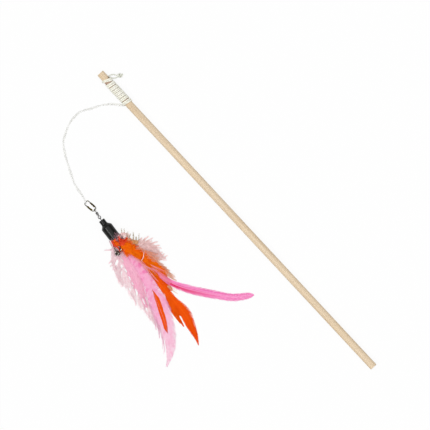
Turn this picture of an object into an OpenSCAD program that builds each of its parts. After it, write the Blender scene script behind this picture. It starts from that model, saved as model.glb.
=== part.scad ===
// Cat teaser wand: a wooden dowel, a doubled cord wound and knotted on it, a snap with a barrel
// swivel, and a feather lure with two jingle bells under a black cap. It lies flat, as it is stored.
// +X runs along the dowel from its butt face, where the origin is, and +Z is up.

/* [Dowel] */
// Diameter of the dowel
dowel_d = 8; // [7:0.5:10]
// Length of the dowel
dowel_len = 420; // [300:5:600]
// Radius of the rounded butt edge
butt_round = 0.8; // [0.3:0.1:1.5]
// Bevel on the tip's edge
tip_bevel = 0.5; // [0.2:0.1:1]
// Diameter of the cord's cross hole
hole_d = 3; // [2.7:0.1:3.4]
// Distance from the tip to the cross hole
hole_from_tip = 9; // [6:0.5:20]

/* [Cord] */
// Diameter of one of the cord's two strands
strand_d = 1.2; // [1:0.05:1.25]
// Full turns of the doubled cord over the dowel
winding_turns = 7; // [3:1:9]
// Distance from one turn to the next along the dowel
winding_pitch = 4.1; // [3.6:0.1:6]
// How far the cord runs along the dowel before its first turn
winding_lead = 2.4; // [1:0.1:5]
// Turns of the end knot round the two strands
knot_turns = 1.5; // [1:0.5:2]
// Distance from one turn of the knot to the next
knot_pitch = 1.8; // [1.75:0.05:2.4]
// How far the strands' cut ends stand out of the knot
tail_end_len = 1.4; // [0.5:0.1:3]

/* [Snap] */
// Diameter of the snap's wire
snap_wire_d = 0.9; // [0.7:0.05:0.95]
// Distance between the middles of the snap's two end wires
snap_len = 12.4; // [12:0.1:15]
// Distance between the middles of the snap's two side wires
snap_w = 5.2; // [5:0.1:7]
// Radius of the snap's corners
snap_corner = 1.6; // [1.4:0.1:1.7]
// Thickness of the snap's sheet clasp
clasp_t = 0.3; // [0.2:0.05:0.4]
// Length of the clasp along the snap
clasp_len = 6.2; // [5.6:0.1:6.6]
// Distance from the snap's cord end to the clasp
clasp_from_end = 4.1; // [3.8:0.1:4.5]
// Length of the window in the clasp
window_len = 3.8; // [3.6:0.1:4.2]
// Width of the window in the clasp
window_w = 3.4; // [2.8:0.1:3.6]

/* [Swivel] */
// Diameter of the swivel's wire
eye_wire_d = 0.8; // [0.6:0.05:0.85]
// Inner radius of a swivel eye
eye_r = 0.85; // [0.8:0.05:1.1]
// How much longer than round a swivel eye is
eye_stretch = 0.8; // [0.4:0.1:1.4]
// Greatest diameter of the swivel's barrel
barrel_d = 2.9; // [2.6:0.1:3.4]
// Length of the swivel's barrel
barrel_len = 4.2; // [3.8:0.1:5]
// Wall of the swivel's barrel
barrel_wall = 0.4; // [0.3:0.05:0.45]
// Bare wire between an eye and the barrel
eye_neck_len = 0.5; // [0.3:0.1:1]

/* [Cap] */
// Diameter of the cap's barrel
cap_d = 12.5; // [12:0.1:14]
// Length of the cap
cap_len = 26; // [24:0.5:30]
// Wall of the cap
cap_wall = 0.9; // [0.7:0.1:1.1]
// Diameter of the cap's neck
neck_d = 6.6; // [6:0.1:7.5]
// Length of the cap's neck
neck_len = 5; // [4:0.1:6]
// Length of the cap's shoulder between neck and barrel
shoulder_len = 4.5; // [3.5:0.1:6]

/* [Bells] */
// Outer diameter of a bell
bell_d = 5.6; // [5:0.1:5.7]
// Wall of a bell
bell_wall = 0.25; // [0.2:0.05:0.35]
// Diameter of the pellet in a bell
pellet_d = 1.8; // [1.4:0.1:2.2]
// Width of a bell's slots
slot_w = 0.6; // [0.4:0.1:0.8]
// Diameter of the thread that holds a bell
thread_d = 0.5; // [0.4:0.05:0.55]

/* [Feathers] */
// Diameter of a quill at the cap
quill_d = 1.1; // [0.8:0.1:1.2]
// Thickness of a vane at its quill
vane_t = 1; // [0.7:0.1:1.1]
// Length of the pale pink marabou plume beyond the cap
pale_plume_len = 105; // [98:1:110]
// Length of the mid pink feather beyond the cap
mid_feather_len = 140; // [130:1:150]
// Length of the hot pink feather beyond the cap
hot_feather_len = 160; // [150:1:170]
// Length of the wide orange feather beyond the cap
wide_feather_len = 140; // [130:1:150]
// Length of the narrow orange feather beyond the cap
narrow_feather_len = 111; // [105:1:115]
// Length of the orange marabou plume beyond the cap
orange_plume_len = 64; // [58:1:70]
// Length of the dusty pink marabou plume beyond the cap
dusty_plume_len = 50; // [46:1:55]

/* [Hidden] */

// Clearances and the overrun of a cut
rub_gap = 0.05;
link_gap = 0.08;
skew_gap = 0.2;
floor_gap = 0.02;
overrun = 1;

// Facets: exact rounds, and the sides and rings of swept cords
$fn = 48;
strand_sides = 8;
winding_sides = 6;
rings_per_turn = 24;
line_rings = 40;
thread_sides = 6;
thread_steps = 6;

dowel_r = dowel_d / 2;
strand_r = strand_d / 2;
pair_half = strand_r + rub_gap / 2;
winding_r = dowel_r + rub_gap + strand_r;
floor_z = -winding_r - strand_r;
hole_x = dowel_len - hole_from_tip;

// The cord leaves the cross hole on the +Y side and bends up onto the dowel
elbow_r = strand_r + rub_gap;
elbow_steps = 5;
// A short straight step squares each end where two runs of the cord meet
joint_step = 0.3;
elbow_run = strand_d + joint_step;
wind_start = atan(elbow_run / (winding_r - elbow_r))
    + asin(elbow_r / norm([winding_r - elbow_r, elbow_run]));
wind_end = 270 + 360 * winding_turns;
lead_angle = 115;
wind_steps = ceil((wind_end - wind_start) / 360 * rings_per_turn);
// A hand-wound cord's uneven turns: places along the winding after equal parts of its angle
turn_shares = [0, 0.165, 0.345, 0.45, 0.556, 0.671, 0.805, 1];

// The route of the doubled cord on the floor, from the end of the winding to the snap
line_route = [[0, 0], [0.5, 2], [3.5, 5.5], [9.5, 10.5], [14.5, 16.5], [18.5, 23], [21.5, 30], [25, 36],
    [27.5, 42.5], [27.5, 49.5], [26.5, 56.5], [24, 63], [20.5, 69.5], [16.5, 75.5], [11, 80],
    [5, 83.5], [-1.5, 87], [-8, 90], [-14.5, 93], [-21, 96], [-28, 98], [-35, 99], [-40, 100],
    [-44, 101]];
// Turns of the two strands round each other, ending one above the other
line_twist = 3.25;
// Softens the lift where the strands change places
lift_softness_share = 0.02;
// Shares of the line's length that stay untwisted at its start and end, and where it spreads
twist_start_share = 0.14;
twist_end_share = 0.04;
spread_share = 0.08;

// The route of the two tails from the cross hole to the end knot
tail_route = [[0, 0, 0], [-0.4, -1.2, -0.1], [-1.6, -2.4, -0.5], [-3, -3.8, -1.3],
    [-4.5, -5.2, -2.3], [-5.6, -6.4, -3.1], [-6.2, -7.6, -3.2]];
tail_rings = 14;

// The bight that holds the snap's end wire
snap_wire_r = snap_wire_d / 2;
bight_r = snap_wire_r + link_gap + strand_r;
bight_leg = 1.6;

// The snap: the gate's root and its hold in the clasp, and the wire's straight stretches
clasp_hold = 2.4;
wire_gap = 0.5;
snap_half_w = snap_w / 2;
end_wire_len = snap_w - 2 * snap_corner;
gate_root = snap_corner;
gate_end = clasp_from_end + clasp_hold;
gate_len = gate_end - gate_root;
fixed_start = gate_end + wire_gap;

// Turns of the lure's links from the dowel's line, as they lie
snap_turn = 6.5;
swivel_turn = -11;
lure_turn = -5.5;
eye_tilt = 30;

// The swivel: an eye's wire ring, its arcs' middle radius, and its place from the link's axis
eye_wire_r = eye_wire_d / 2;
eye_mid_r = eye_r + eye_wire_r;
snap_seat = eye_r - snap_wire_r - skew_gap;
ring_seat = eye_mid_r;
barrel_r = barrel_d / 2;
head_r = barrel_r - barrel_wall - rub_gap;
head_len = 0.7;
head_inset = 0.75;
upper_reach = snap_seat + eye_stretch + eye_mid_r + eye_wire_r + eye_neck_len;
lower_reach = ring_seat + eye_stretch + eye_mid_r + eye_wire_r + eye_neck_len;
swivel_len = upper_reach + barrel_len + lower_reach;

// The cap and its wire eye
cap_r = cap_d / 2;
neck_r = neck_d / 2;
bore_r = cap_r - cap_wall;
cap_top_edge = 0.4;
mouth_taper = 0.15;
neck_floor = neck_len + cap_top_edge;
shoulder_steps = 8;
pin_head_r = 1.3;
pin_head_len = 0.6;
cap_eye_x = -eye_mid_r - eye_wire_r - rub_gap;
cap_link_x = cap_eye_x - eye_r + link_gap + eye_wire_r;

// The glue: how far it stands back from the mouth, and how deep quills and threads seat in it
mouth_depth = 5;
quill_seat = 9;
plug_start = neck_floor + pin_head_len + rub_gap;
plug_end = cap_len - mouth_depth;
plug_r = bore_r - mouth_taper - rub_gap;
quill_start = plug_end - quill_seat;
quill_r = quill_d / 2;

// The bells: places from the cap's top as along, across and up, and the link's offset
bell_r = bell_d / 2;
thread_r = thread_d / 2;
bell_ring_wire_r = 0.25;
bell_ring_r = 0.75;
bell_ring_set = 0.6;
thread_bend_r = bell_ring_wire_r + thread_r + rub_gap;
bell_link = bell_r + bell_ring_set + bell_ring_r;
rim_t = 0.25;
rim_out = 0.2;
bell_apart = bell_d + 2 * rim_out + 2 * rub_gap;
slot_reach_share = 0.75;
pellet_orbit = bell_r - bell_wall - rub_gap - pellet_d / 2;

// Places in the glue, across and up, as shares of the cap's bore
pale_slot = bore_r * [-0.56, -0.6];
narrow_slot = bore_r * [-0.2, -0.79];
mid_slot = bore_r * [0.17, -0.48];
wide_slot = bore_r * [0.38, -0.72];
hot_slot = bore_r * [0.64, -0.45];
dusty_slot = bore_r * [0.67, -0.04];
orange_slot = bore_r * [0.3, 0.3];
thread_1_slot = bore_r * [-0.54, 0.08];
thread_2_slot = bore_r * [-0.22, 0.08];

// The bells' middles beyond the mouth, across and up
bell_1_shares = [1.92, -1.24, -0.256];
bell_1_at = [cap_len, 0, 0] + cap_r * bell_1_shares;
bell_2_at = bell_1_at + [-rim_out - bell_ring_r, bell_apart, 0];

// Rows of a feather beyond the cap: along, across, right and left width as shares of its length,
// and height as a share of the cap's radius
pale_shares = [[0.065, -0.06, 0.028, 0.068, -0.87], [0.162, -0.09, 0.057, 0.11, -0.88],
    [0.343, -0.129, 0.067, 0.119, -0.88], [0.533, -0.148, 0.067, 0.09, -0.88],
    [0.724, -0.162, 0.057, 0.07, -0.88], [0.895, -0.181, 0.038, 0.038, -0.88],
    [1, -0.214, 0.005, 0.005, -0.88]];
mid_shares = [[0.08, 0.019, 0.005, 0.005, -0.56], [0.17, 0.006, 0.03, 0.032, -0.66],
    [0.31, 0.006, 0.04, 0.043, -0.66], [0.46, -0.018, 0.057, 0.057, -0.66],
    [0.6, -0.054, 0.074, 0.071, -0.66], [0.74, -0.1, 0.066, 0.054, -0.66],
    [0.86, -0.16, 0.05, 0.034, -0.7], [0.94, -0.22, 0.034, 0.022, -0.78],
    [0.985, -0.285, 0.003, 0.003, -0.86]];
hot_shares = [[0.07, 0.044, 0.004, 0.004, -0.6], [0.15, 0.06, 0.004, 0.004, -0.64],
    [0.275, 0.074, 0.006, 0.006, -0.65], [0.35, 0.085, 0.014, 0.014, -0.65],
    [0.45, 0.118, 0.022, 0.021, -0.66], [0.56, 0.192, 0.029, 0.029, -0.86],
    [0.686, 0.303, 0.028, 0.028, -0.87], [0.765, 0.38, 0.025, 0.026, -0.87],
    [0.812, 0.46, 0.022, 0.021, -0.87], [0.832, 0.497, 0.004, 0.004, -0.87]];
wide_shares = [[0.08, 0.034, 0.005, 0.005, -0.86], [0.17, 0.043, 0.03, 0.018, -0.88],
    [0.28, 0.05, 0.036, 0.02, -0.88], [0.39, 0.054, 0.036, 0.021, -0.88],
    [0.5, 0.059, 0.036, 0.028, -0.88], [0.6, 0.064, 0.028, 0.04, -0.88],
    [0.69, 0.068, 0.044, 0.06, -0.88], [0.76, 0.068, 0.047, 0.067, -0.88],
    [0.84, 0.057, 0.034, 0.05, -0.88], [0.93, 0.032, 0.02, 0.018, -0.88],
    [1, 0.007, 0.002, 0.002, -0.88]];
narrow_shares = [[0.1, -0.014, 0.005, 0.005, -0.9], [0.31, -0.012, 0.006, 0.006, -0.89],
    [0.54, -0.002, 0.013, 0.013, -0.88], [0.66, -0.03, 0.023, 0.023, -0.88],
    [0.78, -0.072, 0.026, 0.026, -0.88], [0.89, -0.118, 0.03, 0.03, -0.88],
    [1, -0.168, 0.012, 0.012, -0.88]];
orange_shares = [[0.06, 0.055, 0.085, 0.085, 0.58], [0.13, 0.06, 0.11, 0.1, 0.63],
    [0.25, 0.08, 0.13, 0.12, 0.48], [0.44, 0.155, 0.1, 0.085, -0.12],
    [0.69, 0.235, 0.08, 0.062, -0.36], [0.875, 0.31, 0.055, 0.047, -0.38],
    [1, 0.375, 0.007, 0.007, -0.4]];
dusty_shares = [[0.16, 0.16, 0.08, 0.05, -0.3], [0.34, 0.29, 0.17, 0.08, -0.38],
    [0.56, 0.42, 0.21, 0.13, -0.46], [0.76, 0.51, 0.14, 0.1, -0.48],
    [0.94, 0.57, 0.01, 0.01, -0.5]];
rings_per_row = 2;
// A vane's thickness at its tip, where the quill ends, where the tip thins, and its ridge's width
tip_t_share = 0.35;
quill_end_share = 0.3;
thin_start_share = 0.5;
ridge_share = 0.7;
edge_droop_share = 0.06;

// The slit in the mid pink vane and the notch in the wide orange one, along and across
slit_shares = [[0.445, 0], [0.54, -0.012], [0.65, -0.05], [0.74, -0.09], [0.785, -0.133],
    [0.75, -0.125], [0.62, -0.075], [0.53, -0.04]];
notch_shares = [[0.741, 0.035], [0.827, 0.019], [0.9, 0.0145], [0.9, -0.02], [0.826, -0.02],
    [0.824, 0.0075]];

// Colours
wood_tone = "burlywood";
cord_tone = "ivory";
brass_tone = "darkkhaki";
steel_tone = "silver";
cap_tone = "black";
glue_tone = "moccasin";

// Curves through points set by hand
function pick(rows, i) = rows[max(0, min(len(rows) - 1, i))];

function curve_at(rows, share) =
    let (
        place = share * (len(rows) - 1),
        i = min(floor(place), len(rows) - 2),
        t = place - i,
        a = pick(rows, i - 1),
        b = pick(rows, i),
        c = pick(rows, i + 1),
        d = pick(rows, i + 2)
    )
    b + t * (c - a) / 2 + t * t * (2 * a - 5 * b + 4 * c - d) / 2
        + t * t * t * (3 * b - a - 3 * c + d) / 2;

function unit(v) = v / norm(v);

function ease(share) = let (t = max(0, min(1, share))) t * t * (3 - 2 * t);

function heading(path, i) =
    unit(path[min(i + 1, len(path) - 1)] - path[max(i - 1, 0)]);

// Rings round a path: round for a cord
function cord_rings(path, radius, sides, up) =
    [for (i = [0:len(path) - 1])
        let (ahead = heading(path, i), side = unit(cross(up, ahead)), top = cross(ahead, side))
        [for (j = [0:sides - 1])
            let (angle = 360 * j / sides)
            path[i] + radius * (cos(angle) * side + sin(angle) * top)]];

module skin(rings) {
    n = len(rings[0]);
    last = (len(rings) - 1) * n;
    points = [for (ring = rings) each ring];
    walls = [for (i = [0:len(rings) - 2], j = [0:n - 1])
        let (a = i * n + j, b = i * n + (j + 1) % n)
        each [[a, b + n, b], [a, a + n, b + n]]];
    ends = [for (j = [1:n - 2])
        each [[0, j, j + 1], [last, last + j + 1, last + j]]];
    polyhedron(points, concat(walls, ends));
}

module cord_tube(path, radius, sides, up) {
    skin(cord_rings(path, radius, sides, up));
}

// The winding: both strands climb the dowel side by side, with a straight run at each end
function wind_at(angle, side) =
    let (
        turned = max(0, min(1, (angle - wind_start) / (wind_end - wind_start))),
        length = winding_pitch * (wind_end - wind_start) / 360
    )
    [hole_x + side * pair_half - winding_lead * ease((angle - wind_start) / lead_angle)
        - length * curve_at(turn_shares, turned), winding_r * cos(angle), winding_r * sin(angle)];

function wind_run(angle, side, run) =
    wind_at(angle, side) + run * [0, -sin(angle), cos(angle)];

function winding_path(side) = concat(
    [wind_run(wind_start, side, -strand_d)],
    [for (i = [0:wind_steps])
        wind_at(wind_start + (wind_end - wind_start) * i / wind_steps, side)],
    [wind_run(wind_end, side, strand_d)]);

// The least gap between a winding's turns, measured between its points a turn or more apart
function least_gap(path, apart, radius) =
    min([for (i = [0:len(path) - 1 - apart], j = [i + apart:len(path) - 1])
        norm(path[i] - path[j])]) - 2 * radius;

module winding_strand(side) {
    color(cord_tone)
        cord_tube(winding_path(side), strand_r, winding_sides, [1, 0, 0]);
}

// The tails: from the end knot through the cross hole to the foot of the winding
function tail_free(side) =
    [for (i = [0:tail_rings])
        let (
            at = curve_at(tail_route, 1 - i / tail_rings),
            before = curve_at(tail_route, 1 - max(i - 1, 0) / tail_rings),
            after = curve_at(tail_route, 1 - min(i + 1, tail_rings) / tail_rings),
            flat = unit([after[0] - before[0], after[1] - before[1], 0])
        )
        [hole_x, -dowel_r, 0] + at + side * pair_half * [flat[1], -flat[0], 0]];

function elbow(side) =
    let (
        foot = wind_run(wind_start, 0, -elbow_run),
        turn = 90 + wind_start,
        start = [hole_x + side * pair_half, foot[1] - elbow_r * sin(turn),
            foot[2] - elbow_r * (1 - cos(turn))]
    )
    concat([for (i = [0:elbow_steps])
        start + elbow_r * [0, sin(turn * i / elbow_steps), 1 - cos(turn * i / elbow_steps)]],
        [wind_run(wind_start, side, -strand_d)]);

function tail_way() = unit(curve_at(tail_route, 1) - curve_at(tail_route, 0.95));

function tail_path(side) =
    let (free = tail_free(side))
    concat([free[0] + (knot_len + tail_end_len) * tail_way()], free, elbow(side));

knot_len = knot_turns * knot_pitch + strand_d;

module tail_strand(side) {
    color(cord_tone)
        cord_tube(tail_path(side), strand_r, strand_sides, [1, 0, 0]);
}

// The end knot: a tube wrapped round both tails
knot_at = [hole_x, -dowel_r, 0] + curve_at(tail_route, 1);
knot_wide = pair_half + strand_d + rub_gap;
knot_thick = strand_d + 2 * rub_gap;

function knot_path() =
    let (
        way = tail_way(),
        side = unit(cross([0, 0, 1], way)),
        top = cross(way, side),
        steps = knot_turns * rings_per_turn
    )
    [for (i = [0:steps])
        let (angle = 360 * knot_turns * i / steps)
        knot_at + (strand_r + knot_turns * knot_pitch * i / steps) * way
            + knot_wide * cos(angle) * side + knot_thick * sin(angle) * top];

module end_knot() {
    color(cord_tone)
        cord_tube(knot_path(), strand_r, winding_sides, tail_way());
}

// The free line: two strands that lie on the floor and turn slowly round each other
line_start = wind_run(wind_end, 0, strand_d + joint_step);
line_last = len(line_route) - 1;
line_way = unit(line_route[line_last] - line_route[line_last - 1]);
cord_turn = -atan2(line_way[1], -line_way[0]);
lift_full = floor_gap + bight_r * sqrt(1 + lift_softness_share);

function line_at(share, side) =
    let (
        step = 1 / line_rings,
        at = curve_at(line_route, share),
        way = share == 0 ? [0, 1] : share == 1 ? line_way
            : unit(curve_at(line_route, share + step / 2) - curve_at(line_route, share - step / 2)),
        turned = (share - twist_start_share) / (1 - twist_start_share - twist_end_share),
        turn = 360 * line_twist * max(0, min(1, turned)),
        half = pair_half + (bight_r - pair_half) * ease((share - 1) / spread_share + 1),
        lift = (floor_gap + half * sqrt(sin(turn) * sin(turn) + lift_softness_share))
            * ease(share / twist_start_share)
    )
    [line_start[0] + at[0] + side * half * cos(turn) * way[1],
        line_start[1] + at[1] - side * half * cos(turn) * way[0],
        floor_z + strand_r + lift + side * half * sin(turn)];

function line_path(side) = concat(
    [line_at(0, side) - joint_step * [0, 1, 0]],
    [for (i = [0:line_rings]) line_at(i / line_rings, side)],
    [line_at(1, side) + joint_step * [line_way[0], line_way[1], 0]]);

module line_strand(side) {
    color(cord_tone)
        cord_tube(line_path(side), strand_r, strand_sides, [0, 0, 1]);
}

// Places of the links, each from the one before it
function way_of(turn) = [-cos(turn), -sin(turn), 0];

line_end = [line_start[0] + line_route[line_last][0], line_start[1] + line_route[line_last][1],
    floor_z + strand_r + lift_full];
snap_pivot_at = line_end + (joint_step + bight_leg) * way_of(cord_turn);
swivel_link_at = snap_pivot_at + snap_len * way_of(snap_turn);
cap_axis_z = floor_z + cap_r + floor_gap;
swivel_rise = asin((cap_axis_z - swivel_link_at[2]) / swivel_len);
lure_link_at = swivel_link_at + swivel_len * cos(swivel_rise) * way_of(swivel_turn)
    + [0, 0, swivel_len * sin(swivel_rise)];
cap_top_at = lure_link_at - cap_link_x * way_of(lure_turn);

module on_snap() {
    translate(snap_pivot_at) rotate([0, 0, 180 + snap_turn]) children();
}

module on_swivel() {
    translate(swivel_link_at)
        rotate([0, 0, 180 + swivel_turn]) rotate([0, -swivel_rise, 0]) children();
}

module on_lure() {
    translate(cap_top_at) rotate([0, 0, 180 + lure_turn]) children();
}

// A round rod along X, and a quarter bend that starts along X and turns to +Y
module rod(length, radius) {
    rotate([0, 90, 0]) cylinder(h = length, r = radius);
}

module bend(bend_r, wire_r, angle) {
    translate([0, bend_r, 0])
        rotate([0, 0, -90])
            rotate_extrude(angle = angle) translate([bend_r, 0]) circle(r = wire_r, $fn = 24);
}

module line_bight() {
    color(cord_tone)
        translate(snap_pivot_at) rotate([90, 0, 180 + cord_turn]) {
            for (side = [-1, 1])
                translate([-bight_leg, side * bight_r, 0]) rod(bight_leg, strand_r);
            translate([0, -bight_r, 0]) bend(bight_r, strand_r, 180);
        }
}

module dowel() {
    color(wood_tone)
        difference() {
            rotate([0, 90, 0])
                rotate_extrude($fn = 64) dowel_profile();
            translate([hole_x, 0, 0])
                rotate([90, 0, 0]) cylinder(h = dowel_d + 2 * overrun, d = hole_d, center = true);
        }
}

module dowel_profile() {
    translate([0, butt_round]) square([dowel_r, dowel_len - butt_round - tip_bevel]);
    square([dowel_r - butt_round, butt_round]);
    intersection() {
        translate([dowel_r - butt_round, butt_round]) circle(r = butt_round, $fn = 32);
        translate([dowel_r - butt_round, 0]) square(butt_round);
    }
    polygon([[0, dowel_len - tip_bevel], [dowel_r, dowel_len - tip_bevel],
        [dowel_r - tip_bevel, dowel_len], [0, dowel_len]]);
}

// The snap: its wire starts under the clasp, rounds the swivel end and comes back to the cord end
module snap_wire() {
    color(brass_tone) on_snap() difference() {
        union() {
            translate([snap_corner, snap_half_w, 0]) rod(snap_len - 2 * snap_corner, snap_wire_r);
            translate([fixed_start, -snap_half_w, 0])
                rod(snap_len - snap_corner - fixed_start, snap_wire_r);
            for (end = [0, snap_len])
                translate([end, -end_wire_len / 2, 0])
                    rotate([0, 0, 90]) rod(end_wire_len, snap_wire_r);
            translate([snap_len - snap_corner, -snap_half_w, 0])
                bend(snap_corner, snap_wire_r, 90);
            translate([snap_len, end_wire_len / 2, 0])
                rotate([0, 0, 90]) bend(snap_corner, snap_wire_r, 90);
            translate([snap_corner, snap_half_w, 0])
                rotate([0, 0, 180]) bend(snap_corner, snap_wire_r, 90);
            translate([0, -end_wire_len / 2, 0])
                rotate([0, 0, 270]) bend(snap_corner, snap_wire_r, 90);
        }
        translate([gate_root, -snap_half_w, 0]) sphere(r = snap_wire_r + rub_gap);
    }
}

module snap_gate() {
    color(brass_tone) on_snap() translate([gate_root, -snap_half_w, 0]) {
        sphere(r = snap_wire_r);
        rod(gate_len, snap_wire_r);
    }
}

module snap_clasp() {
    color(brass_tone) on_snap() difference() {
        translate([clasp_from_end, 0, 0])
            rotate([90, 0, 90]) linear_extrude(clasp_len) clasp_profile();
        translate([clasp_from_end + clasp_len / 2, 0, -snap_w / 2])
            linear_extrude(snap_w) clasp_window();
    }
}

module clasp_profile() {
    plate_y = -snap_wire_r - rub_gap - clasp_t;
    translate([-snap_half_w, plate_y]) square([snap_w, clasp_t]);
    for (side = [0, 1])
        mirror([side, 0])
            translate([snap_half_w, 0]) intersection() {
                difference() {
                    circle(r = snap_wire_r + rub_gap + clasp_t);
                    circle(r = snap_wire_r + rub_gap);
                }
                translate([0, -snap_w / 2]) square(snap_w);
            }
}

module clasp_window() {
    straight = window_len - window_w;
    for (side = [-1, 1])
        translate([side * straight / 2, 0]) circle(d = window_w);
    square([straight, window_w], center = true);
}

// A swivel eye: a stretched wire ring, its neck, and the round head that turns in the barrel
module eye_ring(stretch) {
    for (side = [-1, 1])
        translate([0, side * eye_mid_r, 0]) rod(stretch, eye_wire_r);
    translate([stretch, -eye_mid_r, 0]) bend(eye_mid_r, eye_wire_r, 180);
    translate([0, eye_mid_r, 0]) rotate([0, 0, 180]) bend(eye_mid_r, eye_wire_r, 180);
}

module swivel_eye(seat) {
    translate([seat, 0, 0]) {
        eye_ring(eye_stretch);
        translate([eye_stretch + eye_mid_r, 0, 0]) {
            rod(eye_wire_r + eye_neck_len + head_inset, eye_wire_r);
            translate([eye_wire_r + eye_neck_len + head_inset, 0, 0]) rod(head_len, head_r);
        }
    }
}

module swivel_upper_eye() {
    color(steel_tone) on_swivel()
        rotate([90 - eye_tilt, 0, 0]) swivel_eye(snap_seat);
}

module swivel_lower_eye() {
    color(steel_tone) on_swivel()
        translate([swivel_len, 0, 0]) rotate([0, 0, 180]) swivel_eye(ring_seat);
}

module swivel_barrel() {
    color(steel_tone) on_swivel() translate([upper_reach, 0, 0]) rotate([0, 90, 0])
        rotate_extrude() difference() {
            barrel_outline();
            barrel_bore();
        }
}

module barrel_outline() {
    end_r = eye_wire_r + barrel_wall;
    polygon([[0, 0], [end_r, 0], [barrel_r, head_inset], [barrel_r, barrel_len - head_inset],
        [end_r, barrel_len], [0, barrel_len]]);
}

module barrel_bore() {
    neck_bore = eye_wire_r + rub_gap;
    translate([-overrun, -overrun])
        square([neck_bore + overrun, barrel_len + 2 * overrun]);
    translate([0, head_inset - rub_gap])
        square([head_r + rub_gap, barrel_len - 2 * head_inset + 2 * rub_gap]);
}

// The cap and the wire pin that carries it
module cap_eye() {
    color(steel_tone) on_lure() {
        translate([cap_eye_x, 0, 0]) rotate([90, 0, 0]) {
            eye_ring(0);
            translate([eye_mid_r, 0, 0]) rod(neck_floor - cap_eye_x - eye_mid_r, eye_wire_r);
        }
        translate([neck_floor, 0, 0]) rod(pin_head_len, pin_head_r);
    }
}

module lure_cap() {
    color(cap_tone) on_lure() rotate([0, 90, 0]) rotate_extrude($fn = 64) cap_profile();
}

// Half of the cap's section: radius across, length up
function shoulder_curve(inset) =
    [for (i = [0:shoulder_steps])
        let (share = i / shoulder_steps)
        [neck_r + (cap_r - neck_r) * ease(share) - inset, neck_len + shoulder_len * share]];

module cap_profile() {
    difference() {
        polygon(concat([[0, 0], [neck_r - cap_top_edge, 0], [neck_r, cap_top_edge]],
            shoulder_curve(0), [[cap_r - mouth_taper, cap_len], [0, cap_len]]));
        translate([-overrun, -overrun])
            square([eye_wire_r + rub_gap + overrun, cap_len + overrun]);
        cap_bore_profile(0);
    }
}

// The cap's hollow, drawn in by a clearance
module cap_bore_profile(gap) {
    polygon(concat([[0, neck_floor + gap], [neck_r - cap_wall - gap, neck_floor + gap]],
        [for (p = shoulder_curve(cap_wall + gap)) if (p[1] > neck_floor + cap_wall)
            p + [0, cap_wall + gap]],
        [[bore_r - mouth_taper - gap, cap_len + overrun], [0, cap_len + overrun]]));
}

slots = [pale_slot, narrow_slot, mid_slot, wide_slot, hot_slot, dusty_slot, orange_slot];

module glue_plug() {
    color(glue_tone) on_lure() difference() {
        rotate([0, 90, 0]) rotate_extrude($fn = 64) intersection() {
            cap_bore_profile(rub_gap);
            translate([0, plug_start]) square([plug_r, plug_end - plug_start]);
        }
        for (slot = slots)
            translate([quill_start - rub_gap, slot[0], slot[1]])
                rod(plug_end - quill_start + overrun, quill_r + rub_gap);
        for (slot = [thread_1_slot, thread_2_slot], side = [-1, 1])
            translate([quill_start - rub_gap, slot[0], slot[1] + side * thread_bend_r])
                rod(plug_end - quill_start + overrun, thread_r + rub_gap);
    }
}

// A bell: two half shells on a seam, a wire loop, four slots and a loose pellet
module bell_half() {
    difference() {
        union() {
            intersection() {
                sphere(r = bell_r);
                translate([0, -bell_d, -bell_d]) cube([bell_d, 2 * bell_d, 2 * bell_d]);
            }
            rod(rim_t, bell_r + rim_out);
        }
        sphere(r = bell_r - bell_wall);
    }
}

module bell_top(at) {
    color(steel_tone) on_lure() translate(at) {
        rotate([0, 0, 180]) bell_half();
        translate([-bell_r - bell_ring_set, 0, 0])
            difference() {
                rotate_extrude() translate([bell_ring_r, 0]) circle(r = bell_ring_wire_r, $fn = 24);
                translate([bell_ring_set + bell_r, 0, 0]) sphere(r = bell_r - bell_wall);
            }
    }
}

module bell_bottom(at) {
    color(steel_tone) on_lure() translate(at) translate([rub_gap / 2, 0, 0])
        difference() {
            bell_half();
            for (turn = [45, 135])
                rotate([turn, 0, 0]) bell_slot();
        }
}

module bell_slot() {
    reach = bell_r * slot_reach_share;
    translate([bell_r * (1 - slot_reach_share), -reach, -slot_w / 2])
        cube([bell_r, 2 * reach, slot_w]);
    for (side = [-1, 1])
        translate([0, side * reach, 0]) rod(bell_r, slot_w);
}

module bell_pellet(at) {
    color(steel_tone) on_lure() translate(at)
        translate([0, 0, -pellet_orbit]) sphere(d = pellet_d, $fn = 32);
}

// The thread of a bell: out of the glue, round the bell's loop and back
function bell_link_at(at) = [at[0] - bell_link, at[1], at[2]];

function thread_leg(slot, at, side) =
    let (link = bell_link_at(at), free = link[0] - plug_end)
    concat([[quill_start, slot[0], slot[1] + side * thread_bend_r]],
        [for (i = [0:thread_steps])
            let (share = ease(i / thread_steps))
            [plug_end + free * i / thread_steps,
                slot[0] + (link[1] - slot[0]) * share,
                slot[1] + (link[2] - slot[1]) * share + side * thread_bend_r]]);

function thread_turn(at) =
    [for (i = [1:thread_steps - 1])
        let (angle = 90 - 180 * i / thread_steps)
        bell_link_at(at) + thread_bend_r * [cos(angle), 0, sin(angle)]];

module bell_thread(slot, at) {
    down = thread_leg(slot, at, 1);
    back = thread_leg(slot, at, -1);
    color(cord_tone) on_lure()
        cord_tube(concat(down, thread_turn(at), [for (i = [len(back) - 1:-1:0]) back[i]]),
            thread_r, thread_sides, [0, 1, 0]);
}

// A feather: a quill that seats in the glue and widens into a thin vane
function feather_rows(slot, length, shares) = concat(
    [for (x = [quill_start, plug_end + quill_d, cap_len]) [x, slot[0], slot[1], quill_r, quill_r]],
    [for (row = shares)
        [cap_len + row[0] * length, row[1] * length, row[4] * cap_r,
            row[2] * length, row[3] * length]]);

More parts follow.
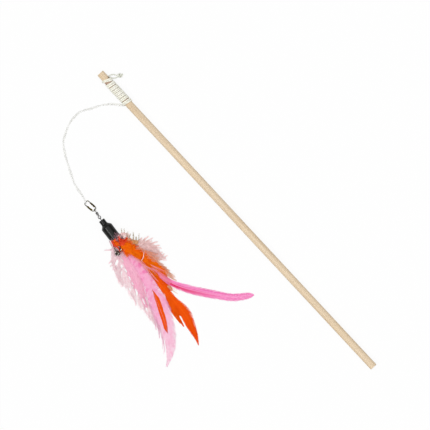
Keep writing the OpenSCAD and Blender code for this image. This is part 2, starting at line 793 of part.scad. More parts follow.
function feather_ring(at, ahead, share) =
    let (
        side = unit(cross([0, 0, 1], ahead)),
        top = cross(ahead, side),
        right = at[3],
        left = at[4],
        thick = quill_r + (vane_t / 2 - quill_r) * ease(share / quill_end_share),
        thinned = ease((share - thin_start_share) / (1 - thin_start_share)),
        half = thick * (1 - (1 - tip_t_share) * thinned),
        place = [at[0], at[1], at[2]]
    )
    [place + right * side - edge_droop_share * max(0, right - quill_r) * top,
        place + ridge_share * (right * side + half * top),
        place + half * top,
        place + ridge_share * (half * top - left * side),
        place - left * side - edge_droop_share * max(0, left - quill_r) * top,
        place - ridge_share * (left * side + half * top),
        place - half * top,
        place + ridge_share * (right * side - half * top)];

function feather_rings(rows) =
    let (
        last = (len(rows) - 1) * rings_per_row,
        way = [for (i = [0:last]) curve_at(rows, i / last)],
        spine = [for (p = way) [p[0], p[1], p[2]]]
    )
    [for (i = [0:last]) feather_ring(way[i], heading(spine, i), i / last)];

module feather(slot, length, shares) {
    skin(feather_rings(feather_rows(slot, length, shares)));
}

module through_vane(length, shares) {
    translate([cap_len, 0, -cap_r])
        linear_extrude(cap_d) polygon([for (p = shares) p * length]);
}

module pale_pink_plume() {
    color("pink") on_lure() feather(pale_slot, pale_plume_len, pale_shares);
}

module mid_pink_feather() {
    color("hotpink") on_lure() difference() {
        feather(mid_slot, mid_feather_len, mid_shares);
        through_vane(mid_feather_len, slit_shares);
    }
}

module hot_pink_feather() {
    color("deeppink") on_lure() feather(hot_slot, hot_feather_len, hot_shares);
}

module wide_orange_feather() {
    color("orangered") on_lure() difference() {
        feather(wide_slot, wide_feather_len, wide_shares);
        through_vane(wide_feather_len, notch_shares);
    }
}

module narrow_orange_feather() {
    color("orangered") on_lure() feather(narrow_slot, narrow_feather_len, narrow_shares);
}

module orange_plume() {
    color("darkorange") on_lure() feather(orange_slot, orange_plume_len, orange_shares);
}

module dusty_pink_plume() {
    color("pink") on_lure() feather(dusty_slot, dusty_plume_len, dusty_shares);
}

echo(winding_gap = least_gap(winding_path(1), rings_per_turn / 2, strand_r));
echo(knot_gap = least_gap(knot_path(), rings_per_turn / 2, strand_r));
echo(snap_pivot = snap_pivot_at, swivel_link = swivel_link_at, lure_link = lure_link_at);
echo(cap_top = cap_top_at, swivel_rise = swivel_rise, floor_z = floor_z);
echo(gate_root = [gate_root, -snap_half_w, 0], cord_turn = cord_turn);
echo(bell_1 = bell_1_at, bell_2 = bell_2_at, bell_link = bell_link, barrel_start = upper_reach);

dowel();
tail_strand(1);  // tail_strand_a
tail_strand(-1);  // tail_strand_b
end_knot();
winding_strand(1);  // winding_strand_a
winding_strand(-1);  // winding_strand_b
line_strand(1);  // line_strand_a
line_strand(-1);  // line_strand_b
line_bight();
snap_wire();
snap_clasp();
snap_gate();
swivel_upper_eye();
swivel_barrel();
swivel_lower_eye();
cap_eye();
lure_cap();
glue_plug();
bell_thread(thread_1_slot, bell_1_at);  // bell_1_thread
bell_top(bell_1_at);  // bell_1_top
bell_bottom(bell_1_at);  // bell_1_bottom
bell_pellet(bell_1_at);  // bell_1_pellet
bell_thread(thread_2_slot, bell_2_at);  // bell_2_thread
bell_top(bell_2_at);  // bell_2_top
bell_bottom(bell_2_at);  // bell_2_bottom
bell_pellet(bell_2_at);  // bell_2_pellet
pale_pink_plume();
mid_pink_feather();
hot_pink_feather();
wide_orange_feather();
narrow_orange_feather();
orange_plume();
dusty_pink_plume();
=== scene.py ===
"""Looks of the cat teaser wand: cord, feathers, finishes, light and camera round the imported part."""

from math import asin, atan, cos, degrees, hypot, pi, radians, sin, sqrt

import bpy
import numpy as np
from mathutils import Matrix


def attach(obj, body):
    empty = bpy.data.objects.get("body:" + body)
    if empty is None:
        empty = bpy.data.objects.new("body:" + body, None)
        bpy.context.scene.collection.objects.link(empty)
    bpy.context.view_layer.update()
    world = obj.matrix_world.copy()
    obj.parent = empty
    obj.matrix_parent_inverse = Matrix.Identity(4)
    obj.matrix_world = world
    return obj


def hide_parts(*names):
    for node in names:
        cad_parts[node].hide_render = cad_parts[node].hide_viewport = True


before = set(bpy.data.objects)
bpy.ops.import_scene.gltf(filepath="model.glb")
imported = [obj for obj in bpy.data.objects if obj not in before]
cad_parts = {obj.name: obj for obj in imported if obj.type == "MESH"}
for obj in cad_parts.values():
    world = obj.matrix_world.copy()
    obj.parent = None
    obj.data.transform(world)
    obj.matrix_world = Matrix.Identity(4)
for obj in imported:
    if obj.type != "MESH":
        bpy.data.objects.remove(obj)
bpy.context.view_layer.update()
MM = 0.001
ROOT = "dowel_and_cord"
scene = bpy.context.scene


def linked(name, data):
    made = bpy.data.objects.new(name, data)
    scene.collection.objects.link(made)
    return made


# Camera: straight down on the flat-lying wand, as in the photograph
VIEW_TURN = radians(47.07)
VIEW_MIDDLE = (229.5, 13.2)
VIEW_WIDTH = 449.6
CAMERA_HEIGHT = 1.5


def add_camera():
    c, s = cos(VIEW_TURN), sin(VIEW_TURN)
    camera = linked("camera", bpy.data.cameras.new("camera"))
    camera.data.type = "ORTHO"
    camera.data.ortho_scale = VIEW_WIDTH * MM
    camera.matrix_world = Matrix((
        (-c, s, 0, VIEW_MIDDLE[0] * MM),
        (-s, -c, 0, VIEW_MIDDLE[1] * MM),
        (0, 0, 1, CAMERA_HEIGHT),
        (0, 0, 0, 1)))
    scene.camera = camera


add_camera()


# Curves and closed strips, in millimetres
def table(text, unit):
    """Rows of numbers, with a comma after each row."""
    return [[float(v) / unit for v in row.split()] for row in text.split(",")]


def curve_at(rows, share):
    rows = np.asarray(rows, float)
    last = len(rows) - 1
    place = np.clip(share, 0, 1) * last
    i = np.minimum(place.astype(int), last - 1)
    t = (place - i)[..., None]
    a, b = rows[np.maximum(i - 1, 0)], rows[i]
    c, d = rows[i + 1], rows[np.minimum(i + 2, last)]
    return (b + t * (c - a) / 2 + t ** 2 * (2 * a - 5 * b + 4 * c - d) / 2
            + t ** 3 * (3 * b - a - 3 * c + d) / 2)


def unit(v):
    return v / np.maximum(np.linalg.norm(v, axis=-1, keepdims=True), 1e-12)


def beside(way):
    """Directions a quarter turn to the left of way, seen from above."""
    return np.stack([-way[..., 1], way[..., 0], 0 * way[..., 0]], -1)


def ease(share):
    t = np.clip(share, 0, 1)
    return t * t * (3 - 2 * t)


def distances(path):
    return np.concatenate([[0], np.cumsum(np.linalg.norm(np.diff(path, axis=0), axis=1))])


def respaced(path, step):
    along = distances(path)
    at = np.linspace(0, along[-1], max(2, int(along[-1] / step) + 1))
    return np.stack([np.interp(at, along, column) for column in path.T], 1)


def frames_along(path):
    """Two directions across a path that turn as little as they can."""
    ahead = unit(np.gradient(path, axis=0))
    side = [unit(np.cross(ahead[0], (0, 0, 1)))]
    for way in ahead[1:]:
        side.append(unit(side[-1] - way * np.dot(side[-1], way)))
    return np.array(side), np.cross(ahead, side)


def closed(points):
    """Rings of points joined into closed tubes, from points[tube, ring, corner]."""
    index = np.arange(points.size // 3).reshape(points.shape[:3])
    after = np.roll(index, -1, axis=2)
    quads = np.stack([index[:, :-1], after[:, :-1], after[:, 1:], index[:, 1:]], -1)
    caps = np.concatenate([index[:, 0, ::-1], index[:, -1]])
    return points.reshape(-1, 3), quads.reshape(-1, 4).tolist() + caps.tolist()


def rope(path, radius, lay, lobes=3, depth=0.12, sides=18, phase=0):
    """A closed tube whose section has one lobe for each ply, turning once in each lay."""
    side, top = frames_along(path)
    angle = 2 * pi * np.arange(sides) / sides
    turn = 2 * pi * distances(path) / lay + phase
    lobe = np.abs(np.cos(lobes * (angle - turn[:, None]) / 2)) ** 0.7
    r = np.reshape(radius, (-1, 1)) * (1 - depth * (1 - lobe))
    angle = angle[:, None]
    points = path[:, None] + r[..., None] * (np.cos(angle) * side[:, None] + np.sin(angle) * top[:, None])
    return closed(points[None])


def strips(centre, half, ridge, tilt=0):
    """Closed three-sided strips along centre[strip, step], with half widths and ridge heights."""
    ahead = unit(np.gradient(centre, axis=1))
    across = unit(beside(ahead))
    across = unit(across + np.reshape(tilt, (-1, 1, 1)) * np.cross(ahead, across))
    top = np.cross(ahead, across)
    w, h = half[..., None] * across, ridge[..., None] * top / 2
    return closed(np.stack([centre - w - h, centre + w - h, centre + h], 2))


def needles(root, way, length, width):
    """Closed four-sided spikes from root[i] along way[i]."""
    across = unit(beside(way))
    top = np.cross(way, across)
    points = np.stack([root - across * width, root + across * width, root + top * width,
                       root + way * length[:, None]], 1)
    index = np.arange(len(root) * 4).reshape(-1, 4)
    faces = [index[:, corners] for corners in ([2, 1, 0], [0, 1, 3], [1, 2, 3], [2, 0, 3])]
    return points.reshape(-1, 3), np.concatenate(faces).tolist()


class Shape:
    """Points, faces and tones gathered for one piece."""

    def __init__(self):
        self.points, self.faces, self.tones, self.slots, self.smooth = [], [], [], [], []
        self.count = 0

    def add(self, made, tone=(0.5, 0.5, 0.5), slot=0, smooth=True):
        points, faces = made
        tone = np.reshape(tone, (-1, 3))
        self.points.append(points)
        self.tones.append(np.repeat(tone, len(points) // len(tone), axis=0))
        self.faces += [[i + self.count for i in f] for f in faces]
        self.slots += [slot] * len(faces)
        self.smooth += [smooth] * len(faces)
        self.count += len(points)
        return self

    def piece(self, name, body, looks, node, slot, flat_map=False):
        points = np.concatenate(self.points)
        at = on_lure(points) if body == "lure" else points
        mesh = bpy.data.meshes.new(name)
        mesh.from_pydata((at * MM).tolist(), [], self.faces)
        for look in looks:
            mesh.materials.append(look)
        mesh.polygons.foreach_set("material_index", self.slots)
        mesh.polygons.foreach_set("use_smooth", self.smooth)
        tones = np.insert(np.concatenate(self.tones), 3, 1, axis=1)
        colour = mesh.attributes.new("tone", "FLOAT_COLOR", "POINT")
        colour.data.foreach_set("color", tones.astype(np.float32).ravel())
        if flat_map:
            low, high = points.min(0)[:2], points.max(0)[:2]
            corner = np.empty(len(mesh.loops), np.int32)
            mesh.loops.foreach_get("vertex_index", corner)
            flat = (points[:, :2] - low) / (high - low).max() * 0.98 + 0.01
            layer = mesh.uv_layers.new(name="OFBake")
            layer.data.foreach_set("uv", flat[corner].astype(np.float32).ravel())
        made = linked(name, mesh)
        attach(made, body)
        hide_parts(node)
        return made


# Materials
HOLE_MOUTH = (410.2, -3.5, 2.0)
# Middle and half sizes of the painted highlight on the clasp
CLASP_CENTRE, HIGHLIGHT_HALF = (324.66, 102.203, -3.489), (1.5, 4.6)
SNAP_ALONG, SNAP_ACROSS = (-0.9936, -0.1132, 0), (0.1132, -0.9936, 0)


def linear(code):
    """A six-digit colour code in linear light."""
    shares = [int(code[k:k + 2], 16) / 255 for k in (0, 2, 4)]
    return [c / 12.92 if c <= 0.04045 else ((c + 0.055) / 1.055) ** 2.4 for c in shares] + [1.0]


class Look:
    """A Principled material with short ways to add noise, layers of colour and bumps."""

    def __init__(self, name, roughness, base="ffffff", **constants):
        self.made = bpy.data.materials.new(name)
        self.made.use_nodes = True
        self.tree = self.made.node_tree
        self.shader = self.tree.nodes["Principled BSDF"]
        self.base = linear(base)
        self.set(Roughness=roughness, **constants)

    def set(self, **sockets):
        for socket, value in sockets.items():
            self.put(self.shader.inputs[socket.replace("_", " ")], value)

    def put(self, socket, value):
        if isinstance(value, bpy.types.NodeSocket):
            self.tree.links.new(value, socket)
        else:
            socket.default_value = value

    def node(self, kind, sockets=None, **settings):
        made = self.tree.nodes.new("ShaderNode" + kind)
        for key, value in settings.items():
            setattr(made, key, value)
        for socket, value in (sockets or {}).items():
            self.put(made.inputs[socket], value)
        return made

    def place(self):
        return self.node("TexCoord").outputs["Object"]

    def noise(self, stretch, detail=3):
        scale = [float(v) for v in np.broadcast_to(stretch, 3)]
        scaled = self.node("Mapping", {"Vector": self.place(), "Scale": scale}).outputs[0]
        return self.node("TexNoise", {
            "Vector": scaled, "Scale": 1.0, "Detail": detail, "Roughness": 0.55}).outputs["Fac"]

    def ranged(self, value, low, high, out_low=0, out_high=1):
        return self.node("MapRange", dict(enumerate((value, low, high, out_low, out_high)))).outputs[0]

    def math(self, kind, a, b):
        return self.node("Math", {0: a, 1: b}, operation=kind).outputs[0]

    def times(self, a, b):
        return self.math("MULTIPLY", a, b)

    def vector(self, kind, a, b):
        return self.node("VectorMath", {0: a, 1: b}, operation=kind).outputs

    def over(self, colour, share, *ranges):
        """Lays a colour over the ones below, by a share or by a value that is ranged first."""
        share = self.ranged(share, *ranges) if ranges else share
        self.base = self.node("Mix", {0: share, 6: self.base, 7: linear(colour)}, data_type="RGBA").outputs[2]
        self.set(Base_Color=self.base)

    def tone(self):
        read = self.node("Attribute", attribute_name="tone").outputs["Color"]
        return self.node("SeparateColor", {"Color": read}).outputs[:3]

    def bump(self, height, distance, strength):
        made = self.node("Bump", {"Height": height, "Distance": distance, "Strength": strength})
        self.set(Normal=made.outputs["Normal"])


def wood_look():
    look = Look("turned_wood", 0.6, "ebd7ba")
    grain = look.noise((28, 3200, 3200), 4)
    streak = look.noise((9, 420, 420))
    look.over("dec6a5", streak, 0.35, 0.68)
    look.over("c8aa84", grain, 0.42, 0.72, 0, 0.5)
    look.over("e7cfaa", look.noise((30, 60, 60), 2), 0.4, 0.7, 0, 0.35)
    pore = look.ranged(look.noise((260, 5200, 5200), 2), 0.62, 0.7)
    look.over("a07a54", look.times(pore, 0.5))
    place = look.place()
    mouth = look.vector("DISTANCE", place, [v * MM for v in HOLE_MOUTH])["Value"]
    look.over("7a542c", mouth, 0.0024, 0.0012, 0, 0.85)
    # Painted shade: the wood under the winding, about 377 to 410 mm along, is darkened mauve-brown for the
    # shadow between its turns
    along = look.node("SeparateXYZ", {"Vector": place}).outputs["X"]
    winding_shade = look.times(look.ranged(along, 0.3765, 0.3785), look.ranged(along, 0.4105, 0.4085))
    look.over("9e7c70", look.times(winding_shade, 0.7))
    look.set(Roughness=look.ranged(grain, 0.3, 0.7, 0.5, 0.72))
    look.bump(look.math("ADD", look.times(grain, 0.7), streak), 0.00012, 0.5)
    return look.made


def cord_look(name, light, shade):
    look = Look(name, 0.88, light, Sheen_Weight=0.1, Sheen_Roughness=0.5)
    fine = look.noise(2600)
    look.over(shade, fine, 0.35, 0.7)
    look.over(shade, look.noise(160, 2), 0.4, 0.7, 0, 0.5)
    look.bump(fine, 0.0001, 0.12)
    return look.made


def metal_look(name, bright, dull_and_reflection, roughness, low, high, scale=700, clasp_highlight=None):
    look = Look(name, roughness, bright, Metallic=1.0)
    cloud = look.noise(scale)
    # Noise lays the darker colour in patches; on the bells these are painted dark reflections
    look.over(dull_and_reflection, cloud, low, high)
    # Painted highlight: a near-white patch over the middle of the clasp
    if clasp_highlight:
        off = look.vector("SUBTRACT", look.place(), [v * MM for v in CLASP_CENTRE])[0]
        shares = []
        for way, half in zip((SNAP_ACROSS, SNAP_ALONG), HIGHLIGHT_HALF):
            part = look.vector("DOT_PRODUCT", off, [v / half / MM for v in way])["Value"]
            shares.append(look.times(part, part))
        look.over(clasp_highlight, look.math("ADD", *shares), 1.2, 0.85)
    scratch = look.noise((600, 4200, 4200), 2)
    look.set(Roughness=look.ranged(scratch, 0.3, 0.7, roughness * 0.75, roughness * 1.4))
    look.bump(cloud, 0.00004, 0.35)
    return look.made


def cap_look():
    look = Look("black_cap_plastic", 0.3, "070605", Specular_IOR_Level=0.26)
    fine = look.noise(1500)
    look.over("11100d", look.noise((90, 900, 900), 2), 0.35, 0.7)
    look.set(Roughness=look.ranged(fine, 0.3, 0.7, 0.24, 0.34))
    look.bump(fine, 0.00006, 0.35)
    return look.made


def glue_look():
    look = Look("set_glue", 0.3, "deca96", Subsurface_Weight=0.2, Subsurface_Scale=0.002)
    cloud = look.noise(500, 2)
    look.over("c4aa70", cloud, 0.3, 0.7)
    look.bump(cloud, 0.0003, 0.5)
    return look.made


def dyed(name, colours, spread=0.45, blotch=None, streak=None, lines=0):
    """Vane colours at root, middle and tip and a dark one, with each barb's own tone, and if given
    soft blotches, a streak by the quill or fine lines."""
    root, middle, tip, dark = colours.split()
    look = Look(name, 0.8, root, Specular_IOR_Level=0.1)
    own, across, along = look.tone()
    own = look.math("ADD", own, look.ranged(look.noise(420), 0.36, 0.64, -0.4, 0.4))
    look.over(middle, along, 0.1, 0.45)
    look.over(tip, along, 0.55, 1.0)
    if blotch:
        cloud = look.ranged(look.noise(230, 2), 0.46, 0.62)
        look.over(blotch, look.times(cloud, look.ranged(along, 0.3, 0.7, 0.85, 0.15)))
    if streak:
        near = look.times(look.ranged(across, 0.02, 0.26), look.ranged(across, 0.62, 0.4))
        stretch = look.times(look.ranged(along, 0.36, 0.42), look.ranged(along, 0.72, 0.46))
        look.over(streak, look.times(near, stretch))
    if lines:
        where = look.node("CombineXYZ", {"X": look.times(across, 11), "Y": look.times(along, 5)})
        fine = look.node("TexNoise", {"Vector": where.outputs[0], "Scale": 1.0, "Detail": 2.0})
        look.over(dark, fine.outputs["Fac"], 0.46, 0.62, 0, lines)
    look.over(dark, own, 0.35, 1, 0, spread)
    return look.made


# One cord in three copies: the winding's is whiter with greenish-beige flecks as painted highlight and shade,
# the knot's and tails' is greyer as painted shade
COTTON = cord_look("cotton_cord", "f2f2f0", "eaeae6")
WOUND = cord_look("wound_cord", "fffefa", "eeecd6")
KNOTTED = cord_look("knotted_cord", "ecede2", "ced0c2")
THREAD = cord_look("bell_thread", "60362c", "341e1c")


# Finishes of the CAD nodes that stay
def paint(look, *names):
    for name in names:
        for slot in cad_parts[name].material_slots:
            slot.material = look


paint(wood_look(), "dowel")
paint(metal_look("brass", "827424", "2e2704", 0.5, 0.3, 0.5), "snap_wire", "snap_gate")
# The clasp's near-white middle is a painted highlight
paint(metal_look("clasp_brass", "827424", "2e2704", 0.5, 0.3, 0.5, clasp_highlight="fffafa"), "snap_clasp")
paint(metal_look("steel", "c8c7c6", "484746", 0.34, 0.42, 0.62), "swivel_upper_eye", "swivel_barrel")
paint(metal_look("dark_steel", "545352", "242322", 0.4, 0.36, 0.56), "swivel_lower_eye", "cap_eye")
# The bells' dark patches are painted reflections
paint(metal_look("bell_silver", "cec8be", "26201c", 0.22, 0.42, 0.52, 520),
      *(f"bell_{n}_{part}" for n in (1, 2) for part in ("top", "bottom", "pellet")))
paint(cap_look(), "lure_cap")
paint(glue_look(), "glue_plug")


# The doubled cord: sizes and routes as in the part's source
STRANDS, CORD_SIDES = (("a", 1), ("b", -1)), 15
DOWEL_R, HOLE_X = 4.0, 411.0
STRAND_R, RUB_GAP, FLOOR_GAP, JOINT_STEP = 0.6, 0.05, 0.02, 0.3
PAIR_HALF = STRAND_R + RUB_GAP / 2
WINDING_R = DOWEL_R + RUB_GAP + STRAND_R
FLOOR_Z = -WINDING_R - STRAND_R
PITCH, LEAD, LEAD_ANGLE, TURNS = 4.1, 2.4, 115.0, 7
ELBOW_R, ELBOW_RUN = STRAND_R + RUB_GAP, 2 * STRAND_R + JOINT_STEP
WIND_START = (degrees(atan(ELBOW_RUN / (WINDING_R - ELBOW_R)))
              + degrees(asin(ELBOW_R / hypot(WINDING_R - ELBOW_R, ELBOW_RUN))))
WIND_END = 270 + 360 * TURNS
TURN_PLACES = np.array([[0], [0.15], [0.31], [0.45], [0.58], [0.71], [0.85], [1]])
LINE_ROUTE = table("""
    0 0, 5 20, 35 55, 95 105, 145 165, 185 230, 215 300, 250 360, 275 425, 275 495, 265 565, 240 630,
    205 695, 165 755, 110 800, 50 835, -15 870, -80 900, -145 930, -210 960, -280 980, -350 990,
    -400 1000, -440 1010""", 10)
LINE_TWIST = 3.25
TWIST_START, TWIST_END, SPREAD, LIFT_SOFT = 0.14, 0.04, 0.08, 0.02
TAIL_ROUTE = table("""
    0 0 0, -4 -12 -1, -16 -24 -5, -30 -38 -13, -45 -52 -23, -56 -64 -31, -62 -76 -32""", 10)
KNOT_TURNS, KNOT_PITCH, TAIL_END = 1.5, 1.8, 1.4
SNAP_WIRE_R, LINK_GAP, BIGHT_LEG = 0.45, 0.08, 1.6
BIGHT_R = SNAP_WIRE_R + LINK_GAP + STRAND_R
PLY_LAY, PRESSED_SHARE, KNOT_SWELL, TAIL_BOW = 3.4, 0.208, 1.25, 1.25


def wind_at(angle, side):
    a = np.radians(angle)
    whole = WIND_END - WIND_START
    x = (HOLE_X + side * PAIR_HALF - LEAD * ease((angle - WIND_START) / LEAD_ANGLE)
         - PITCH * whole / 360 * curve_at(TURN_PLACES, (angle - WIND_START) / whole)[..., 0])
    return np.stack([x, WINDING_R * np.cos(a), WINDING_R * np.sin(a)], -1)


def wind_run(angle, side, run):
    a = radians(angle)
    return wind_at(angle, side) + run * np.array([0, -sin(a), cos(a)])


def winding_path(side):
    turns = wind_at(np.linspace(WIND_START, WIND_END, 700), side)
    return np.concatenate([[wind_run(WIND_START, side, -2 * STRAND_R)], turns,
                           [wind_run(WIND_END, side, 2 * STRAND_R)]])


LINE_START = wind_run(WIND_END, 0, ELBOW_RUN)
LINE_WAY = unit(np.array([*np.subtract(LINE_ROUTE[-1], LINE_ROUTE[-2]), 0]))


def line_at(share, side):
    step = 1 / 80
    at = curve_at(LINE_ROUTE, share)
    way = unit(curve_at(LINE_ROUTE, share + step) - curve_at(LINE_ROUTE, share - step))
    turned = np.clip((share - TWIST_START) / (1 - TWIST_START - TWIST_END), 0, 1)
    turn = 2 * pi * LINE_TWIST * turned
    half = PAIR_HALF + (BIGHT_R - PAIR_HALF) * ease((share - 1) / SPREAD + 1)
    lift = (FLOOR_GAP + half * np.sqrt(np.sin(turn) ** 2 + LIFT_SOFT)) * ease(share / TWIST_START)
    off = side * half * np.cos(turn)
    return np.stack([LINE_START[0] + at[:, 0] + off * way[:, 1],
                     LINE_START[1] + at[:, 1] - off * way[:, 0],
                     FLOOR_Z + STRAND_R + lift + side * half * np.sin(turn)], -1)


def line_path(side):
    line = line_at(np.linspace(0, 1, 640), side)
    return np.concatenate([[line[0] - [0, JOINT_STEP, 0]], line, [line[-1] + JOINT_STEP * LINE_WAY]])


def add_cord(made, look, name, node):
    return Shape().add(made).piece(name, ROOT, [look], node, "cord")


def add_lines():
    for letter, side in STRANDS:
        path = respaced(line_path(side), 0.3)
        line = add_cord(rope(path, STRAND_R, PLY_LAY, depth=0), COTTON, "free_line_" + letter,
                        "line_strand_" + letter)


def add_windings():
    for letter, side in STRANDS:
        path = respaced(winding_path(side), 0.35)
        points, faces = rope(path, STRAND_R, PLY_LAY, depth=0.07, sides=CORD_SIDES, phase=2 * side)
        share = np.linspace(0, 1, len(path))
        pitch = np.interp(share, np.linspace(0, 1, len(TURN_PLACES) - 1),
                          np.diff(TURN_PLACES[:, 0]) * PITCH * (WIND_END - WIND_START) / 360)
        wide = np.clip(PRESSED_SHARE * pitch, STRAND_R, 1.1) - STRAND_R
        wide = np.repeat(wide * ease(share / 0.05) * ease((1 - share) / 0.03), CORD_SIDES)
        middle = np.repeat(path[:, 0], CORD_SIDES)
        points[:, 0] = middle + (points[:, 0] - middle) * (1 + wide / STRAND_R) + side * wide
        add_cord((points, faces), WOUND, "wound_cord_" + letter, "winding_strand_" + letter)


def tail_way():
    return unit(curve_at(TAIL_ROUTE, 1.0) - curve_at(TAIL_ROUTE, 0.95))


def tail_path(side):
    share = np.linspace(1, 0, 60)
    free = curve_at(TAIL_ROUTE, share)
    flat = np.gradient(free, axis=0) * [1, 1, 0]
    spread = PAIR_HALF + TAIL_BOW * np.sin(pi * share) ** 2
    free = free + [HOLE_X, -DOWEL_R, 0] - side * spread[:, None] * beside(unit(flat))
    foot = wind_run(WIND_START, 0, -ELBOW_RUN)
    turn = radians(90 + WIND_START)
    start = np.array([HOLE_X + side * PAIR_HALF, foot[1] - ELBOW_R * sin(turn),
                      foot[2] - ELBOW_R * (1 - cos(turn))])
    bend = turn * np.linspace(0, 1, 9)
    elbow = start + ELBOW_R * np.stack([0 * bend, np.sin(bend), 1 - np.cos(bend)], 1)
    out = free[0] + (KNOT_TURNS * KNOT_PITCH + 2 * STRAND_R + TAIL_END) * tail_way()
    return np.concatenate([[out], free, elbow, [wind_run(WIND_START, side, -2 * STRAND_R)]])


def knot_path():
    way = tail_way()
    side = unit(beside(way))
    top = np.cross(way, side)
    i = np.linspace(0, 1, 90)[:, None]
    angle = 2 * pi * KNOT_TURNS * i
    at = np.array([HOLE_X, -DOWEL_R, 0]) + curve_at(TAIL_ROUTE, 1.0)
    return (at + (STRAND_R + KNOT_TURNS * KNOT_PITCH * i) * way
            + (PAIR_HALF + 2 * STRAND_R + RUB_GAP) * np.cos(angle) * side
            + (2 * STRAND_R + 2 * RUB_GAP) * np.sin(angle) * top)


def bight_path():
    z = FLOOR_Z + STRAND_R + FLOOR_GAP + BIGHT_R * sqrt(1 + LIFT_SOFT)
    line_end = np.array([*(LINE_START[:2] + LINE_ROUTE[-1]), z])
    pivot = line_end + (JOINT_STEP + BIGHT_LEG) * LINE_WAY
    leg, up = pivot - BIGHT_LEG * LINE_WAY, np.array([0, 0, BIGHT_R])
    arc = np.radians(np.linspace(-90, 90, 60))[:, None]
    bend = pivot + BIGHT_R * np.cos(arc) * LINE_WAY + np.sin(arc) * up
    return np.concatenate([[leg - up], bend, [leg + up]])


add_lines()
add_windings()
for letter, side in STRANDS:
    add_cord(rope(respaced(tail_path(side), 0.2), STRAND_R, PLY_LAY, depth=0, sides=CORD_SIDES), KNOTTED,
             "cord_tail_" + letter, "tail_strand_" + letter)
add_cord(rope(respaced(knot_path(), 0.2), KNOT_SWELL * STRAND_R, PLY_LAY, sides=CORD_SIDES), KNOTTED,
         "tied_knot", "end_knot")
add_cord(rope(respaced(bight_path(), 0.15), STRAND_R, PLY_LAY), COTTON, "cord_bight", "line_bight")


# The lure's own frame: along the cap from its top, across, and up
CAP_TOP, LURE_TURN = np.array([306.497, 103.784, 1.02]), radians(-5.5)
CAP_LEN, CAP_R, BORE_R = 26.0, 6.25, 5.35
PLUG_END, QUILL_START, QUILL_R = 21.0, 12.0, 0.55


def on_lure(points):
    c, s = cos(LURE_TURN), sin(LURE_TURN)
    x, y, z = np.moveaxis(points, -1, 0)
    return np.stack([CAP_TOP[0] - c * x + s * y, CAP_TOP[1] - s * x - c * y, CAP_TOP[2] + z], -1)


BELLS = {"bell_1": ([38.0, -7.75, -1.6], [-0.54, 0.08], (-6, 90)),
         "bell_2": ([37.05, -1.65, -1.6], [-0.22, 0.08], (-6, 28))}
BELL_LINK, BELL_ROOM, THREAD_R, THREAD_BEND = 4.15, 3.45, 0.25, 0.55

for name, (at, slot, _) in BELLS.items():
    link = np.subtract(at, [BELL_LINK, 0, 0])
    start = np.array([PLUG_END, *(BORE_R * np.array(slot))])
    share = np.linspace(0, 1, 40)
    leg = start + (link - start) * np.stack([share, ease(share), ease(share)], 1)
    leg = np.concatenate([[[QUILL_START, *start[1:]]], leg])
    bend = [0, 0, THREAD_BEND]
    arc = np.radians(np.linspace(75, -75, 16))[:, None]
    turn = link + THREAD_BEND * np.concatenate([np.cos(arc), 0 * arc, np.sin(arc)], 1)
    path = np.concatenate([leg + bend, turn, (leg - bend)[::-1]])
    Shape().add(rope(respaced(path, 0.15), THREAD_R, 1.5, lobes=2, depth=0.25, sides=12)).piece(
        name + "_twine", "lure", [THREAD], name + "_thread", "thread")


# Feathers
BARB_STEP, BARB_RAGGED, BARB_COVER, BARB_RIDGE = 0.36, 0.04, 1.9, 0.07
REST_Z = FLOOR_Z + 0.35 - CAP_TOP[2]


def inside(points, outline):
    x, y = points[..., 0], points[..., 1]
    hit = np.zeros(x.shape, bool)
    for (x0, y0), (x1, y1) in zip(outline, np.roll(outline, -1, axis=0)):
        crosses = (y0 > y) != (y1 > y)
        hit ^= crosses & (x < (x1 - x0) * (y - y0) / (y1 - y0 + 1e-9) + x0)
    return hit


def beside_bells(points):
    """Points moved straight out of the room that each bell sweeps."""
    for at, _, swing in BELLS.values():
        link = np.subtract(at, [BELL_LINK, 0, 0])
        off = points - link
        turn = np.clip(np.arctan2(off[..., 2], off[..., 0]), *np.radians(swing))
        centre = link + BELL_LINK * np.stack([np.cos(turn), 0 * turn, np.sin(turn)], -1)
        out = points - centre
        far = np.linalg.norm(out, axis=-1, keepdims=True)
        points = np.where(far < BELL_ROOM, centre + out * BELL_ROOM / far, points)
    return points


def seen_from(points, holes):
    """Places of points along and across each see-through gap: middle, half length, half width, turn."""
    for x, y, long, wide, turn in holes:
        c, s = cos(radians(turn)), sin(radians(turn))
        dx, dy = points[..., 0] - x, points[..., 1] - y
        yield c * dx + s * dy, c * dy - s * dx, long, wide, np.array([-s, c])


def parted(points, holes):
    """Barbs bent apart round the gaps."""
    for a, b, long, wide, out in seen_from(points, holes):
        room = wide * np.sqrt(np.clip(1 - (a / long) ** 2, 0, 1)) + 0.15
        hand = np.where(b[np.arange(len(b)), np.abs(a).argmin(1)] >= 0, 1, -1)[:, None]
        far = b * hand
        moved = np.where(np.abs(far) < 2.5 * wide, room + np.maximum(far, 0) * (1 - room / (2.5 * wide)), far)
        push = hand * np.where(np.abs(a) < 1.1 * long, moved - far, 0)
        points[..., :2] += push[..., None] * out
    return points


def in_holes(points, holes):
    hit = np.zeros(points.shape[:-1], bool)
    for a, b, long, wide, _ in seen_from(points, holes):
        hit |= (a / long) ** 2 + (b / wide) ** 2 < 1
    return hit


def tones(own, across, along):
    return np.stack(np.broadcast_arrays(own, across, along), -1)


